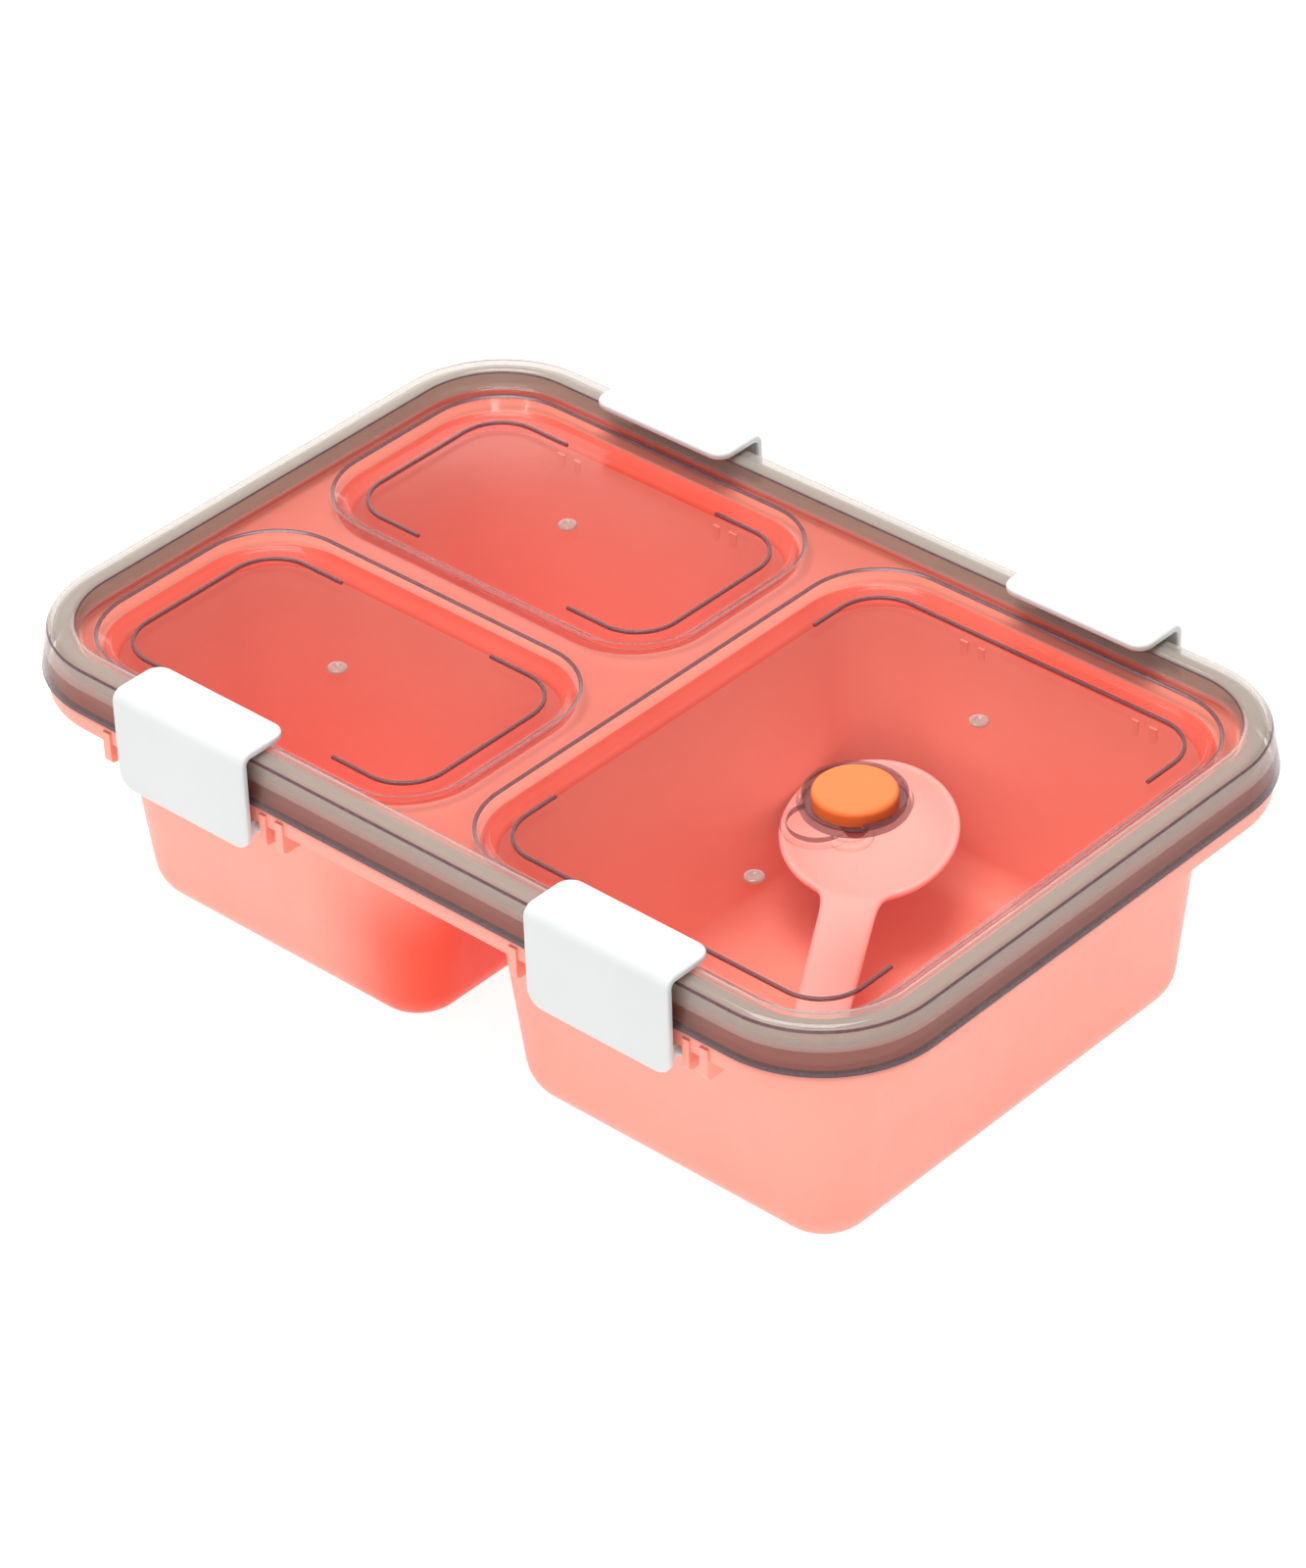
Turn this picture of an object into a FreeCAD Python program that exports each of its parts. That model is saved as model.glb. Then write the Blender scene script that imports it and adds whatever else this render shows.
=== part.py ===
import FreeCAD
import Part
import math
import os

# Three-compartment lunch box. Millimetres, Z up, origin at the middle of the footprint on the table.
# X runs along the long side, Y along the short side; the front is -Y.

# Overall
RIM_TOP_Z = 70.0
LID_LENGTH = 230.0
LID_WIDTH = 150.0
LID_CORNER_R = 26.0

# Lid: an inverted channel round the edge, a recessed web and three shallow panels
SKIRT_BOTTOM_Z = 59.6
SKIRT_DRAFT = 1.8
RIM_WIDTH = 5.8
RIM_FILLET = 2.0
LID_WALL = 1.6
WEB_Z = 66.0
CHANNEL_TOP_Z = 68.2
LIP_BOTTOM_Z = 63.1
PANEL_Z = 63.5
PANEL_SLOPE = 3.0
PANEL_CORNER_R = 18.0
RECESS_FOOT_INSET = 6.4
RECESS_TOP_INSET = 5.65
LIP_OUTER_INSET = 4.5
LIP_TRIM_INSET = 4.4
UNDER_WEB_INSET = 6.1
PLUG_FOOT_INSET = 2.4
PLUG_TOP_GROW = 0.7
RIB_INSET = 7.3
RIB_WIDTH = 0.9
RIB_HEIGHT = 0.4
RIB_GAP = 43.0
LARGE_RIB_GAP = 79.0
GATE_R = 2.1
GATE_HEIGHT = 0.45
GATE_TAPER = 0.4
GATE_DISH_R = 0.9
GATE_DISH_TOP_R = 1.3
GATE_DISH_DEPTH = 0.35
GATE_PLACES = ((-55.2, 35.0), (58.5, 34.5))
FLOOR_LAP = 0.3

# Vent in the large panel
VENT_X = 55.0
POCKET_R = 10.5
POCKET_Z = 60.9
NOTCH_R = 6.2
NOTCH_OFFSET_Y = -11.6
NOTCH_Z = 61.6
TAB_R = 3.6
TAB_OFFSET_X = 7.5
TAB_OFFSET_Y = -10.4
TAB_Z = 62.2
STEM_HOLE_R = 2.9

# Base tray
BASE_WALL = 2.0
DECK_TOP_Z = 62.6
DECK_BOTTOM_Z = 60.6
FLANGE_TOP_Z = 59.2
FLANGE_BOTTOM_Z = 57.4
FLANGE_SKIRT_Z = 54.8
FLANGE_OVERHANG = 0.6
FLANGE_SKIRT_WALL = 1.8
DECK_LAP = 0.5
BEAD_INSET = 2.2
BEAD_WIDTH = 1.8
BEAD_TOP_Z = 63.9
WELL_DRAFT = 0.11
WELL_BOTTOM_R = 9.5
LEAD_IN = 3.9
LEAD_IN_DEPTH = 3.0

# Panel and well plan areas: low x, high x, low y, high y
SMALL_PANEL = (-105.5, -5.0, 4.0, 66.0)
LARGE_PANEL = (2.5, 105.5, -66.0, 66.0)
SMALL_WELL = (-103.4, -7.3, 5.4, 64.0)
LARGE_WELL = (4.6, 103.4, -64.0, 64.0)
WELL_CORNER_R = 17.5

# Clips: an L-section hooked over the rim, hinged under the flange
CLIP_LENGTH = 37.5
CLIP_X = 57.0
CLIP_OUTER_Y = 79.0
CLIP_THICKNESS = 1.6
CLIP_BOTTOM_Z = 48.7
CLIP_TOP_Z = 72.2
CLIP_LIP_Y = 65.5
CLIP_BEND_R = 2.6
CLIP_INNER_BEND_R = 1.0
CLIP_LIP_CORNER_R = 3.6
CLIP_FACE_CORNER_R = 4.0
HINGE_Y = 73.6
HINGE_Z = 52.0
TRUNNION_R = 1.2
TRUNNION_BORE_R = 1.27
TRUNNION_END_X = 22.2
EAR_INNER_X = 13.5
EAR_OUTER_X = 16.5
EAR_R = 1.9
EAR_LAP = 0.4
TRUNNION_LAP = 0.5
BRACKET_SPANS = ((19.4, 21.2), (23.8, 26.0))
BRACKET_OUTER_Y = 76.2
BRACKET_ROOT_Y = 61.5
BRACKET_KNEE_Y = 69.6
BRACKET_BOTTOM_Z = 50.0
BRACKET_ROOT_Z = 52.0
BRACKET_KNEE_R = 1.5
BRACKET_CORNER_R = 1.2
BRACKET_LAP = 0.6

# Gasket and vent plug
GASKET_BOTTOM_Z = 64.2
GASKET_TOP_Z = 67.9
GASKET_OUTER_INSET = 1.75
GASKET_INNER_INSET = 4.3
GASKET_EDGE_R = 0.5
PLUG_R = 8.9
PLUG_BOTTOM_Z = 61.0
PLUG_TOP_Z = 64.3
PLUG_EDGE_R = 1.1
STEM_R = 2.5
BARB_R = 3.4
BARB_TIP_R = 1.9
BARB_HEIGHT = 2.4
BARB_CLEARANCE = 0.3
STEM_LAP = 0.5
PLUG_TRAVEL = 3.5

# Spoon
BOWL_LENGTH = 40.0
BOWL_WIDTH = 37.0
BOWL_DEPTH = 7.0
SPOON_WALL = 1.8
SPOON_LENGTH = 117.0
HANDLE_WIDTH = 12.5
HANDLE_ROOT = 17.0
HANDLE_NECK = 12.0
HANDLE_ROOT_LAP = 4.5
HANDLE_NECK_REACH = 9.0
HANDLE_NECK_R = 14.0
HANDLE_END_R = 5.5
HANDLE_THICKNESS = 2.6
BOWL_CENTRE = (29.7, 33.7, 24.4)
SPOON_TURN = -60.7
SPOON_TILT = 10.6


def vec(x, y, z):
    return FreeCAD.Vector(x, y, z)


def rounded_wire(points, radii):
    """Closed wire through 3-D points in one plane, each corner rounded by its own radius."""
    count = len(points)
    edges = []
    starts = []
    ends = []
    arcs = []
    for index in range(count):
        corner = points[index]
        before = (points[index - 1] - corner).normalize()
        after = (points[(index + 1) % count] - corner).normalize()
        radius = radii[index]
        half_angle = before.getAngle(after) / 2.0
        if radius <= 0:
            starts.append(corner)
            ends.append(corner)
            arcs.append(None)
            continue
        reach = radius / math.tan(half_angle)
        bisector = (before + after).normalize()
        centre = corner + bisector * (radius / math.sin(half_angle))
        starts.append(corner + before * reach)
        ends.append(corner + after * reach)
        arcs.append(centre - bisector * radius)
    for index in range(count):
        if arcs[index] is not None:
            edges.append(Part.Arc(starts[index], arcs[index], ends[index]).toShape())
        following = starts[(index + 1) % count]
        if ends[index].distanceToPoint(following) > 1e-6:
            edges.append(Part.makeLine(ends[index], following))
    return Part.Wire(edges)


def plan_wire(area, radius, z, grow=0.0):
    """Rounded rectangle in plan at height z, offset outward by grow."""
    x0, x1, y0, y1 = area
    corners = [
        vec(x0 - grow, y0 - grow, z),
        vec(x1 + grow, y0 - grow, z),
        vec(x1 + grow, y1 + grow, z),
        vec(x0 - grow, y1 + grow, z),
    ]
    return rounded_wire(corners, [max(radius + grow, 0.5)] * 4)


def plan_loft(area, radius, z_low, z_high, grow_low=0.0, grow_high=0.0):
    """Solid between two offset copies of one rounded rectangle."""
    low = plan_wire(area, radius, z_low, grow_low)
    high = plan_wire(area, radius, z_high, grow_high)
    return Part.makeLoft([low, high], True, True)


def plan_ring(area, radius, z_low, z_high, outer, inner):
    """Upright ring of constant section round the rounded rectangle."""
    solid = plan_loft(area, radius, z_low, z_high, outer, outer)
    return solid.cut(plan_loft(area, radius, z_low - 1, z_high + 1, inner, inner))


def box(x0, x1, y0, y1, z0, z1):
    return Part.makeBox(x1 - x0, y1 - y0, z1 - z0, vec(x0, y0, z0))


def cylinder(radius, x, y, z_low, z_high):
    return Part.makeCylinder(radius, z_high - z_low, vec(x, y, z_low), vec(0, 0, 1))


def mirrored_y(area):
    x0, x1, y0, y1 = area
    return (x0, x1, -y1, -y0)


def edges_at(shape, z, tolerance=0.01):
    """Edges that lie flat at height z."""
    found = []
    for edge in shape.Edges:
        bounds = edge.BoundBox
        if abs(bounds.ZMin - z) < tolerance and abs(bounds.ZMax - z) < tolerance:
            found.append(edge)
    return found


LID_AREA = (-LID_LENGTH / 2, LID_LENGTH / 2, -LID_WIDTH / 2, LID_WIDTH / 2)
SMALL_PANELS = (SMALL_PANEL, mirrored_y(SMALL_PANEL))
PANELS = SMALL_PANELS + (LARGE_PANEL,)
WELLS = (SMALL_WELL, mirrored_y(SMALL_WELL), LARGE_WELL)
CLIP_PLACES = {
    "clip_front_left": (-CLIP_X, 180),
    "clip_front_right": (CLIP_X, 180),
    "clip_rear_left": (-CLIP_X, 0),
    "clip_rear_right": (CLIP_X, 0),
}


def well_outer(area):
    """Tapered tub with a rounded bottom, from the table up to the deck."""
    drop = DECK_TOP_Z * WELL_DRAFT
    tub = plan_loft(area, WELL_CORNER_R, 0.0, DECK_TOP_Z, -drop, 0.0)
    return tub.makeFillet(WELL_BOTTOM_R, edges_at(tub, 0.0))


def well_inner(area):
    """Hollow of one tub, with a flared mouth that takes the lid's panel."""
    mouth_z = DECK_TOP_Z - LEAD_IN_DEPTH
    low = -BASE_WALL - (DECK_TOP_Z - BASE_WALL) * WELL_DRAFT
    high = -BASE_WALL - LEAD_IN_DEPTH * WELL_DRAFT
    hollow = plan_loft(area, WELL_CORNER_R, BASE_WALL, mouth_z, low, high)
    hollow = hollow.makeFillet(WELL_BOTTOM_R - BASE_WALL, edges_at(hollow, BASE_WALL))
    flare = plan_loft(area, WELL_CORNER_R, mouth_z, DECK_TOP_Z, high, high + LEAD_IN)
    past_top = plan_loft(area, WELL_CORNER_R, DECK_TOP_Z, DECK_TOP_Z + 2, high + LEAD_IN, high + LEAD_IN)
    return hollow.fuse(flare).fuse(past_top)


def hinge_brackets(centre_x, side):
    """Ribs under the flange beside one clip; the inner pair carries the trunnions."""
    section = [
        vec(0, BRACKET_ROOT_Y, FLANGE_BOTTOM_Z + BRACKET_LAP),
        vec(0, BRACKET_ROOT_Y, BRACKET_ROOT_Z),
        vec(0, BRACKET_KNEE_Y, BRACKET_BOTTOM_Z),
        vec(0, BRACKET_OUTER_Y, BRACKET_BOTTOM_Z),
        vec(0, BRACKET_OUTER_Y, FLANGE_BOTTOM_Z + BRACKET_LAP),
    ]
    face = Part.Face(rounded_wire(section, [0, 0, BRACKET_KNEE_R, BRACKET_CORNER_R, 0]))
    ribs = []
    for inner_x, outer_x in BRACKET_SPANS:
        rib = face.extrude(vec(outer_x - inner_x, 0, 0))
        right = rib.copy()
        right.translate(vec(inner_x, 0, 0))
        left = rib.copy()
        left.translate(vec(-outer_x, 0, 0))
        ribs += [right, left]
    group = ribs[0].multiFuse(ribs[1:])
    bore_length = BRACKET_SPANS[0][1] + BRACKET_LAP
    for direction in (1, -1):
        bore = Part.makeCylinder(TRUNNION_BORE_R, bore_length, vec(0, HINGE_Y, HINGE_Z), vec(direction, 0, 0))
        group = group.cut(bore)
    if side < 0:
        group.rotate(vec(0, 0, 0), vec(0, 0, 1), 180)
    group.translate(vec(centre_x, 0, 0))
    return group


def build_base_tray():
    """One-piece tray: deck, sealing bead, flange with a down-turned skirt, three wells and hinge ribs."""
    bead_outer = -BEAD_INSET
    bead_inner = -BEAD_INSET - BEAD_WIDTH
    flange_outer = FLANGE_OVERHANG
    skirt_inner = flange_outer - FLANGE_SKIRT_WALL
    deck_outer = bead_inner + DECK_LAP
    deck = plan_loft(LID_AREA, LID_CORNER_R, DECK_BOTTOM_Z, DECK_TOP_Z, deck_outer, deck_outer)
    bead = plan_ring(LID_AREA, LID_CORNER_R, FLANGE_BOTTOM_Z, BEAD_TOP_Z, bead_outer, bead_inner)
    flange = plan_ring(LID_AREA, LID_CORNER_R, FLANGE_BOTTOM_Z, FLANGE_TOP_Z, flange_outer, bead_inner)
    skirt = plan_ring(LID_AREA, LID_CORNER_R, FLANGE_SKIRT_Z, FLANGE_TOP_Z, flange_outer, skirt_inner)
    pieces = [bead, flange, skirt]
    for well in WELLS:
        pieces.append(well_outer(well))
    for centre_x, turn in CLIP_PLACES.values():
        pieces.append(hinge_brackets(centre_x, -1 if turn else 1))
    tray = deck.multiFuse(pieces)
    for well in WELLS:
        tray = tray.cut(well_inner(well))
    return tray.removeSplitter()


def panel_rib(area, gap):
    """Two thin C-shaped ribs on a panel floor, open in the middle of two opposite sides."""
    z_low = PANEL_Z - FLOOR_LAP
    z_high = PANEL_Z + RIB_HEIGHT
    ring = plan_ring(area, PANEL_CORNER_R, z_low, z_high, -RIB_INSET, -RIB_INSET - RIB_WIDTH)
    mid_x = (area[0] + area[1]) / 2
    mid_y = (area[2] + area[3]) / 2
    if area[1] - area[0] > area[3] - area[2]:
        gap_box = box(mid_x - gap / 2, mid_x + gap / 2, area[2], area[3], z_low - 1, z_high + 1)
    else:
        gap_box = box(area[0], area[1], mid_y - gap / 2, mid_y + gap / 2, z_low - 1, z_high + 1)
    return ring.cut(gap_box)


def gate_mark(x, y):
    """Small raised ring left by the moulding gate."""
    foot = vec(x, y, PANEL_Z - FLOOR_LAP)
    outer = Part.makeCone(GATE_R, GATE_R - GATE_TAPER, GATE_HEIGHT + FLOOR_LAP, foot, vec(0, 0, 1))
    dish_foot = vec(x, y, PANEL_Z + GATE_HEIGHT - GATE_DISH_DEPTH)
    return outer.cut(Part.makeCone(GATE_DISH_R, GATE_DISH_TOP_R, GATE_TAPER, dish_foot, vec(0, 0, 1)))


def build_lid():
    """Clear lid: rim channel over the bead, recessed web, three panels and the vent pocket."""
    lid = plan_loft(LID_AREA, LID_CORNER_R, SKIRT_BOTTOM_Z, RIM_TOP_Z, SKIRT_DRAFT, 0.0)
    lid = lid.makeFillet(RIM_FILLET, edges_at(lid, RIM_TOP_Z))
    recess = plan_loft(LID_AREA, LID_CORNER_R, WEB_Z, RIM_TOP_Z + 1, -RECESS_FOOT_INSET, -RECESS_TOP_INSET)
    lid = lid.cut(recess)
    skirt_inner = -LID_WALL
    lip_outer = -LIP_OUTER_INSET
    channel = plan_loft(
        LID_AREA, LID_CORNER_R, SKIRT_BOTTOM_Z - 1, CHANNEL_TOP_Z,
        SKIRT_DRAFT + skirt_inner + 0.2, skirt_inner,
    )
    island = plan_loft(LID_AREA, LID_CORNER_R, SKIRT_BOTTOM_Z - 2, RIM_TOP_Z, lip_outer, lip_outer)
    lid = lid.cut(channel.cut(island))
    under = plan_loft(
        LID_AREA, LID_CORNER_R, SKIRT_BOTTOM_Z - 1, WEB_Z - LID_WALL, -UNDER_WEB_INSET, -UNDER_WEB_INSET,
    )
    lip_trim = plan_loft(LID_AREA, LID_CORNER_R, SKIRT_BOTTOM_Z - 1, LIP_BOTTOM_Z, -LIP_TRIM_INSET, -LIP_TRIM_INSET)
    lid = lid.cut(under).cut(lip_trim)
    for area in PANELS:
        plug = plan_loft(
            area, PANEL_CORNER_R, PANEL_Z - LID_WALL, WEB_Z - LID_WALL + 0.2, -PLUG_FOOT_INSET, PLUG_TOP_GROW,
        )
        lid = lid.fuse(plug)
    lid = lid.fuse(cylinder(POCKET_R + LID_WALL, VENT_X, 0, POCKET_Z - LID_WALL, PANEL_Z))
    lid = lid.fuse(cylinder(NOTCH_R + LID_WALL, VENT_X, NOTCH_OFFSET_Y, NOTCH_Z - LID_WALL, PANEL_Z))
    for area in PANELS:
        lid = lid.cut(plan_loft(area, PANEL_CORNER_R, PANEL_Z, WEB_Z, -PANEL_SLOPE, 0.0))
    lid = lid.cut(cylinder(POCKET_R, VENT_X, 0, POCKET_Z, PANEL_Z + 1))
    lid = lid.cut(cylinder(NOTCH_R, VENT_X, NOTCH_OFFSET_Y, NOTCH_Z, PANEL_Z + 1))
    lid = lid.cut(cylinder(TAB_R, VENT_X + TAB_OFFSET_X, TAB_OFFSET_Y, TAB_Z, PANEL_Z + 1))
    lid = lid.cut(cylinder(STEM_HOLE_R, VENT_X, 0, POCKET_Z - 3, POCKET_Z + 1))
    additions = [panel_rib(area, RIB_GAP) for area in SMALL_PANELS]
    additions.append(panel_rib(LARGE_PANEL, LARGE_RIB_GAP))
    for gate_x, gate_y in GATE_PLACES:
        additions += [gate_mark(gate_x, gate_y), gate_mark(gate_x, -gate_y)]
    return lid.multiFuse(additions).removeSplitter()


def build_gasket():
    """Seal ring in the top of the lid's channel, with a small crest above and a flat face below."""
    ring = plan_ring(
        LID_AREA, LID_CORNER_R, GASKET_BOTTOM_Z, GASKET_TOP_Z, -GASKET_OUTER_INSET, -GASKET_INNER_INSET,
    )
    edges = edges_at(ring, GASKET_BOTTOM_Z) + edges_at(ring, GASKET_TOP_Z)
    return ring.makeFillet(GASKET_EDGE_R, edges)


def build_clip(centre_x, turn):
    """L-section clip with a rounded bend, a rounded lip, two ears and their trunnions."""
    inner_y = CLIP_OUTER_Y - CLIP_THICKNESS
    under_z = CLIP_TOP_Z - CLIP_THICKNESS
    section = [
        vec(0, CLIP_OUTER_Y, CLIP_BOTTOM_Z),
        vec(0, CLIP_OUTER_Y, CLIP_TOP_Z),
        vec(0, CLIP_LIP_Y, CLIP_TOP_Z),
        vec(0, CLIP_LIP_Y, under_z),
        vec(0, inner_y, under_z),
        vec(0, inner_y, CLIP_BOTTOM_Z),
    ]
    half_thick = CLIP_THICKNESS / 2 - 0.01
    radii = [half_thick, CLIP_BEND_R, half_thick, half_thick, CLIP_INNER_BEND_R, half_thick]
    face = Part.Face(rounded_wire(section, radii))
    plate = face.extrude(vec(CLIP_LENGTH, 0, 0))
    plate.translate(vec(-CLIP_LENGTH / 2, 0, 0))
    half = CLIP_LENGTH / 2
    lip_outline = [
        vec(-half, CLIP_LIP_Y, 0),
        vec(half, CLIP_LIP_Y, 0),
        vec(half, CLIP_OUTER_Y + 5, 0),
        vec(-half, CLIP_OUTER_Y + 5, 0),
    ]
    keep_top = Part.Face(rounded_wire(lip_outline, [CLIP_LIP_CORNER_R, CLIP_LIP_CORNER_R, 0, 0])).extrude(vec(0, 0, 100))
    face_outline = [
        vec(-half, 60, CLIP_BOTTOM_Z),
        vec(half, 60, CLIP_BOTTOM_Z),
        vec(half, 60, CLIP_TOP_Z + 5),
        vec(-half, 60, CLIP_TOP_Z + 5),
    ]
    face_radii = [CLIP_FACE_CORNER_R, CLIP_FACE_CORNER_R, 0, 0]
    keep_front = Part.Face(rounded_wire(face_outline, face_radii)).extrude(vec(0, 30, 0))
    clip = plate.common(keep_top).common(keep_front)
    for side in (-1, 1):
        low_x = min(side * EAR_INNER_X, side * EAR_OUTER_X)
        width = EAR_OUTER_X - EAR_INNER_X
        ear = box(low_x, low_x + width, HINGE_Y, inner_y + EAR_LAP, HINGE_Z - EAR_R, HINGE_Z + EAR_R)
        boss = Part.makeCylinder(EAR_R, width, vec(low_x, HINGE_Y, HINGE_Z), vec(1, 0, 0))
        reach = TRUNNION_END_X - EAR_INNER_X - TRUNNION_LAP
        start = vec(side * (EAR_INNER_X + TRUNNION_LAP), HINGE_Y, HINGE_Z)
        trunnion = Part.makeCylinder(TRUNNION_R, reach, start, vec(side, 0, 0))
        clip = clip.fuse(ear).fuse(boss).fuse(trunnion)
    clip = clip.removeSplitter()
    clip.rotate(vec(0, 0, 0), vec(0, 0, 1), turn)
    clip.translate(vec(centre_x, 0, 0))
    return clip


def build_vent_plug():
    """Round vent cap on a stem, with a barb that keeps it in the lid."""
    cap = cylinder(PLUG_R, VENT_X, 0, PLUG_BOTTOM_Z, PLUG_TOP_Z)
    cap = cap.makeFillet(PLUG_EDGE_R, edges_at(cap, PLUG_TOP_Z))
    floor_z = POCKET_Z - LID_WALL
    barb_z = floor_z - PLUG_TRAVEL - BARB_CLEARANCE
    stem = cylinder(STEM_R, VENT_X, 0, barb_z - STEM_LAP, PLUG_BOTTOM_Z + STEM_LAP)
    barb = Part.makeCone(BARB_TIP_R, BARB_R, BARB_HEIGHT, vec(VENT_X, 0, barb_z - BARB_HEIGHT), vec(0, 0, 1))
    return cap.fuse(stem).fuse(barb).removeSplitter()


def build_spoon():
    """Short spoon with a broad bowl, lying aslant in the large well."""
    outer = Part.makeSphere(1.0)
    inner = Part.makeSphere(1.0)
    scale_out = FreeCAD.Matrix()
    scale_out.scale(BOWL_LENGTH / 2, BOWL_WIDTH / 2, BOWL_DEPTH)
    scale_in = FreeCAD.Matrix()
    scale_in.scale(BOWL_LENGTH / 2 - SPOON_WALL, BOWL_WIDTH / 2 - SPOON_WALL, BOWL_DEPTH - SPOON_WALL)
    bowl = outer.transformGeometry(scale_out)
    bowl = bowl.cut(box(-60, 60, -60, 60, 0, 60))
    handle_end = SPOON_LENGTH - BOWL_LENGTH / 2
    root_x = BOWL_LENGTH / 2 - HANDLE_ROOT_LAP
    neck_x = BOWL_LENGTH / 2 + HANDLE_NECK_REACH
    outline = [
        vec(root_x, -HANDLE_ROOT / 2, -HANDLE_THICKNESS),
        vec(neck_x, -HANDLE_NECK / 2, -HANDLE_THICKNESS),
        vec(handle_end, -HANDLE_WIDTH / 2, -HANDLE_THICKNESS),
        vec(handle_end, HANDLE_WIDTH / 2, -HANDLE_THICKNESS),
        vec(neck_x, HANDLE_NECK / 2, -HANDLE_THICKNESS),
        vec(root_x, HANDLE_ROOT / 2, -HANDLE_THICKNESS),
    ]
    radii = [0, HANDLE_NECK_R, HANDLE_END_R, HANDLE_END_R, HANDLE_NECK_R, 0]
    handle = Part.Face(rounded_wire(outline, radii)).extrude(vec(0, 0, HANDLE_THICKNESS))
    spoon = bowl.fuse(handle)
    spoon = spoon.cut(inner.transformGeometry(scale_in)).removeSplitter()
    spoon.rotate(vec(0, 0, 0), vec(0, 1, 0), SPOON_TILT)
    spoon.rotate(vec(0, 0, 0), vec(0, 0, 1), SPOON_TURN)
    spoon.translate(vec(*BOWL_CENTRE))
    return spoon


def main():
    os.makedirs("parts", exist_ok=True)
    nodes = {
        "base_tray": build_base_tray(),
        "lid": build_lid(),
        "lid_gasket": build_gasket(),
        "vent_plug": build_vent_plug(),
        "spoon": build_spoon(),
    }
    for name, (centre_x, turn) in CLIP_PLACES.items():
        nodes[name] = build_clip(centre_x, turn)
    for name, shape in nodes.items():
        bounds = shape.BoundBox
        print(
            name, "valid", shape.isValid(), "solids", len(shape.Solids), "volume", round(shape.Volume / 1000, 2),
            "x", round(bounds.XMin, 2), round(bounds.XMax, 2), "y", round(bounds.YMin, 2), round(bounds.YMax, 2),
            "z", round(bounds.ZMin, 2), round(bounds.ZMax, 2),
        )
        shape.exportStep("parts/" + name + ".step")


main()
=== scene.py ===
"""Looks of a lunch box with three wells, a clear lid, hinged clips, a vent plug and a spoon.

Every length is in metres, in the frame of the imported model: X along the long side, Y to the rear, Z up.
"""

import logging
import math
from dataclasses import dataclass, field
from enum import Enum
from typing import Callable

import bpy
from mathutils import Matrix, Vector


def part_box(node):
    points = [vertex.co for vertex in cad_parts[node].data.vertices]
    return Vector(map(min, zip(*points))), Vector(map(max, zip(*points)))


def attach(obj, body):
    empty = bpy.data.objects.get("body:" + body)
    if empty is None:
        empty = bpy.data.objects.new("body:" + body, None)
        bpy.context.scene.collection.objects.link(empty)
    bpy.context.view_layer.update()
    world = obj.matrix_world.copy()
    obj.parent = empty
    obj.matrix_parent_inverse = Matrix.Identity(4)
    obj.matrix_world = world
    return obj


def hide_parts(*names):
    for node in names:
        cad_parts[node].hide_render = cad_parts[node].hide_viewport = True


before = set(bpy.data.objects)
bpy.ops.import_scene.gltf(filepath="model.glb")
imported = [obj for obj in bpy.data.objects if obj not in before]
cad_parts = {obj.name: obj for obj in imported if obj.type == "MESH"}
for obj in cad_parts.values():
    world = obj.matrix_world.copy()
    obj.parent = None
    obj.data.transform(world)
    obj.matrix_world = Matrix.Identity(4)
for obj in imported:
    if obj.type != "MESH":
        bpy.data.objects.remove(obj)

logging.basicConfig(level=logging.INFO, format="%(levelname)s %(message)s")
LOG = logging.getLogger("lunch_box")

MM = 0.001
CORNER_SEGMENTS = 18
BEND_STEPS = 5
SMOOTH_ANGLE = math.radians(32.0)
HALF_TURN = Matrix.Rotation(math.pi, 4, "Z")

# Points this near each other in height are taken as one level when they are picked.
NEAR = 0.02 * MM
# The last ring of a long walk may be this far off its height before it is levelled.
RING_SLACK = 0.034 * MM
# Edges that are filled together lie within this of their height.
LEVEL = 0.002 * MM

Colour = tuple[float, float, float, float]
Test = Callable[[Vector], bool]

WHITE: Colour = (1.0, 1.0, 1.0, 1.0)


def tint(red: int, green: int, blue: int) -> Colour:
    """Turns a screen colour into the linear colour a shader takes.

    Args:
        red: Screen red, 0 to 255.
        green: Screen green, 0 to 255.
        blue: Screen blue, 0 to 255.

    Returns:
        Linear red, green, blue and a full alpha.
    """
    linear = []
    for channel in (red, green, blue):
        share = channel / 255.0
        linear.append(share / 12.92 if share <= 0.04045 else ((share + 0.055) / 1.055) ** 2.4)
    return (linear[0], linear[1], linear[2], 1.0)


def shade(colour: Colour, share: float) -> Colour:
    """Darkens a colour to a share of its light."""
    return (colour[0] * share, colour[1] * share, colour[2] * share, 1.0)


class Heading(float, Enum):
    """Directions that a section can bend to, in degrees above the inward direction."""

    UP = 90.0
    INWARD = 0.0


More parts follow.
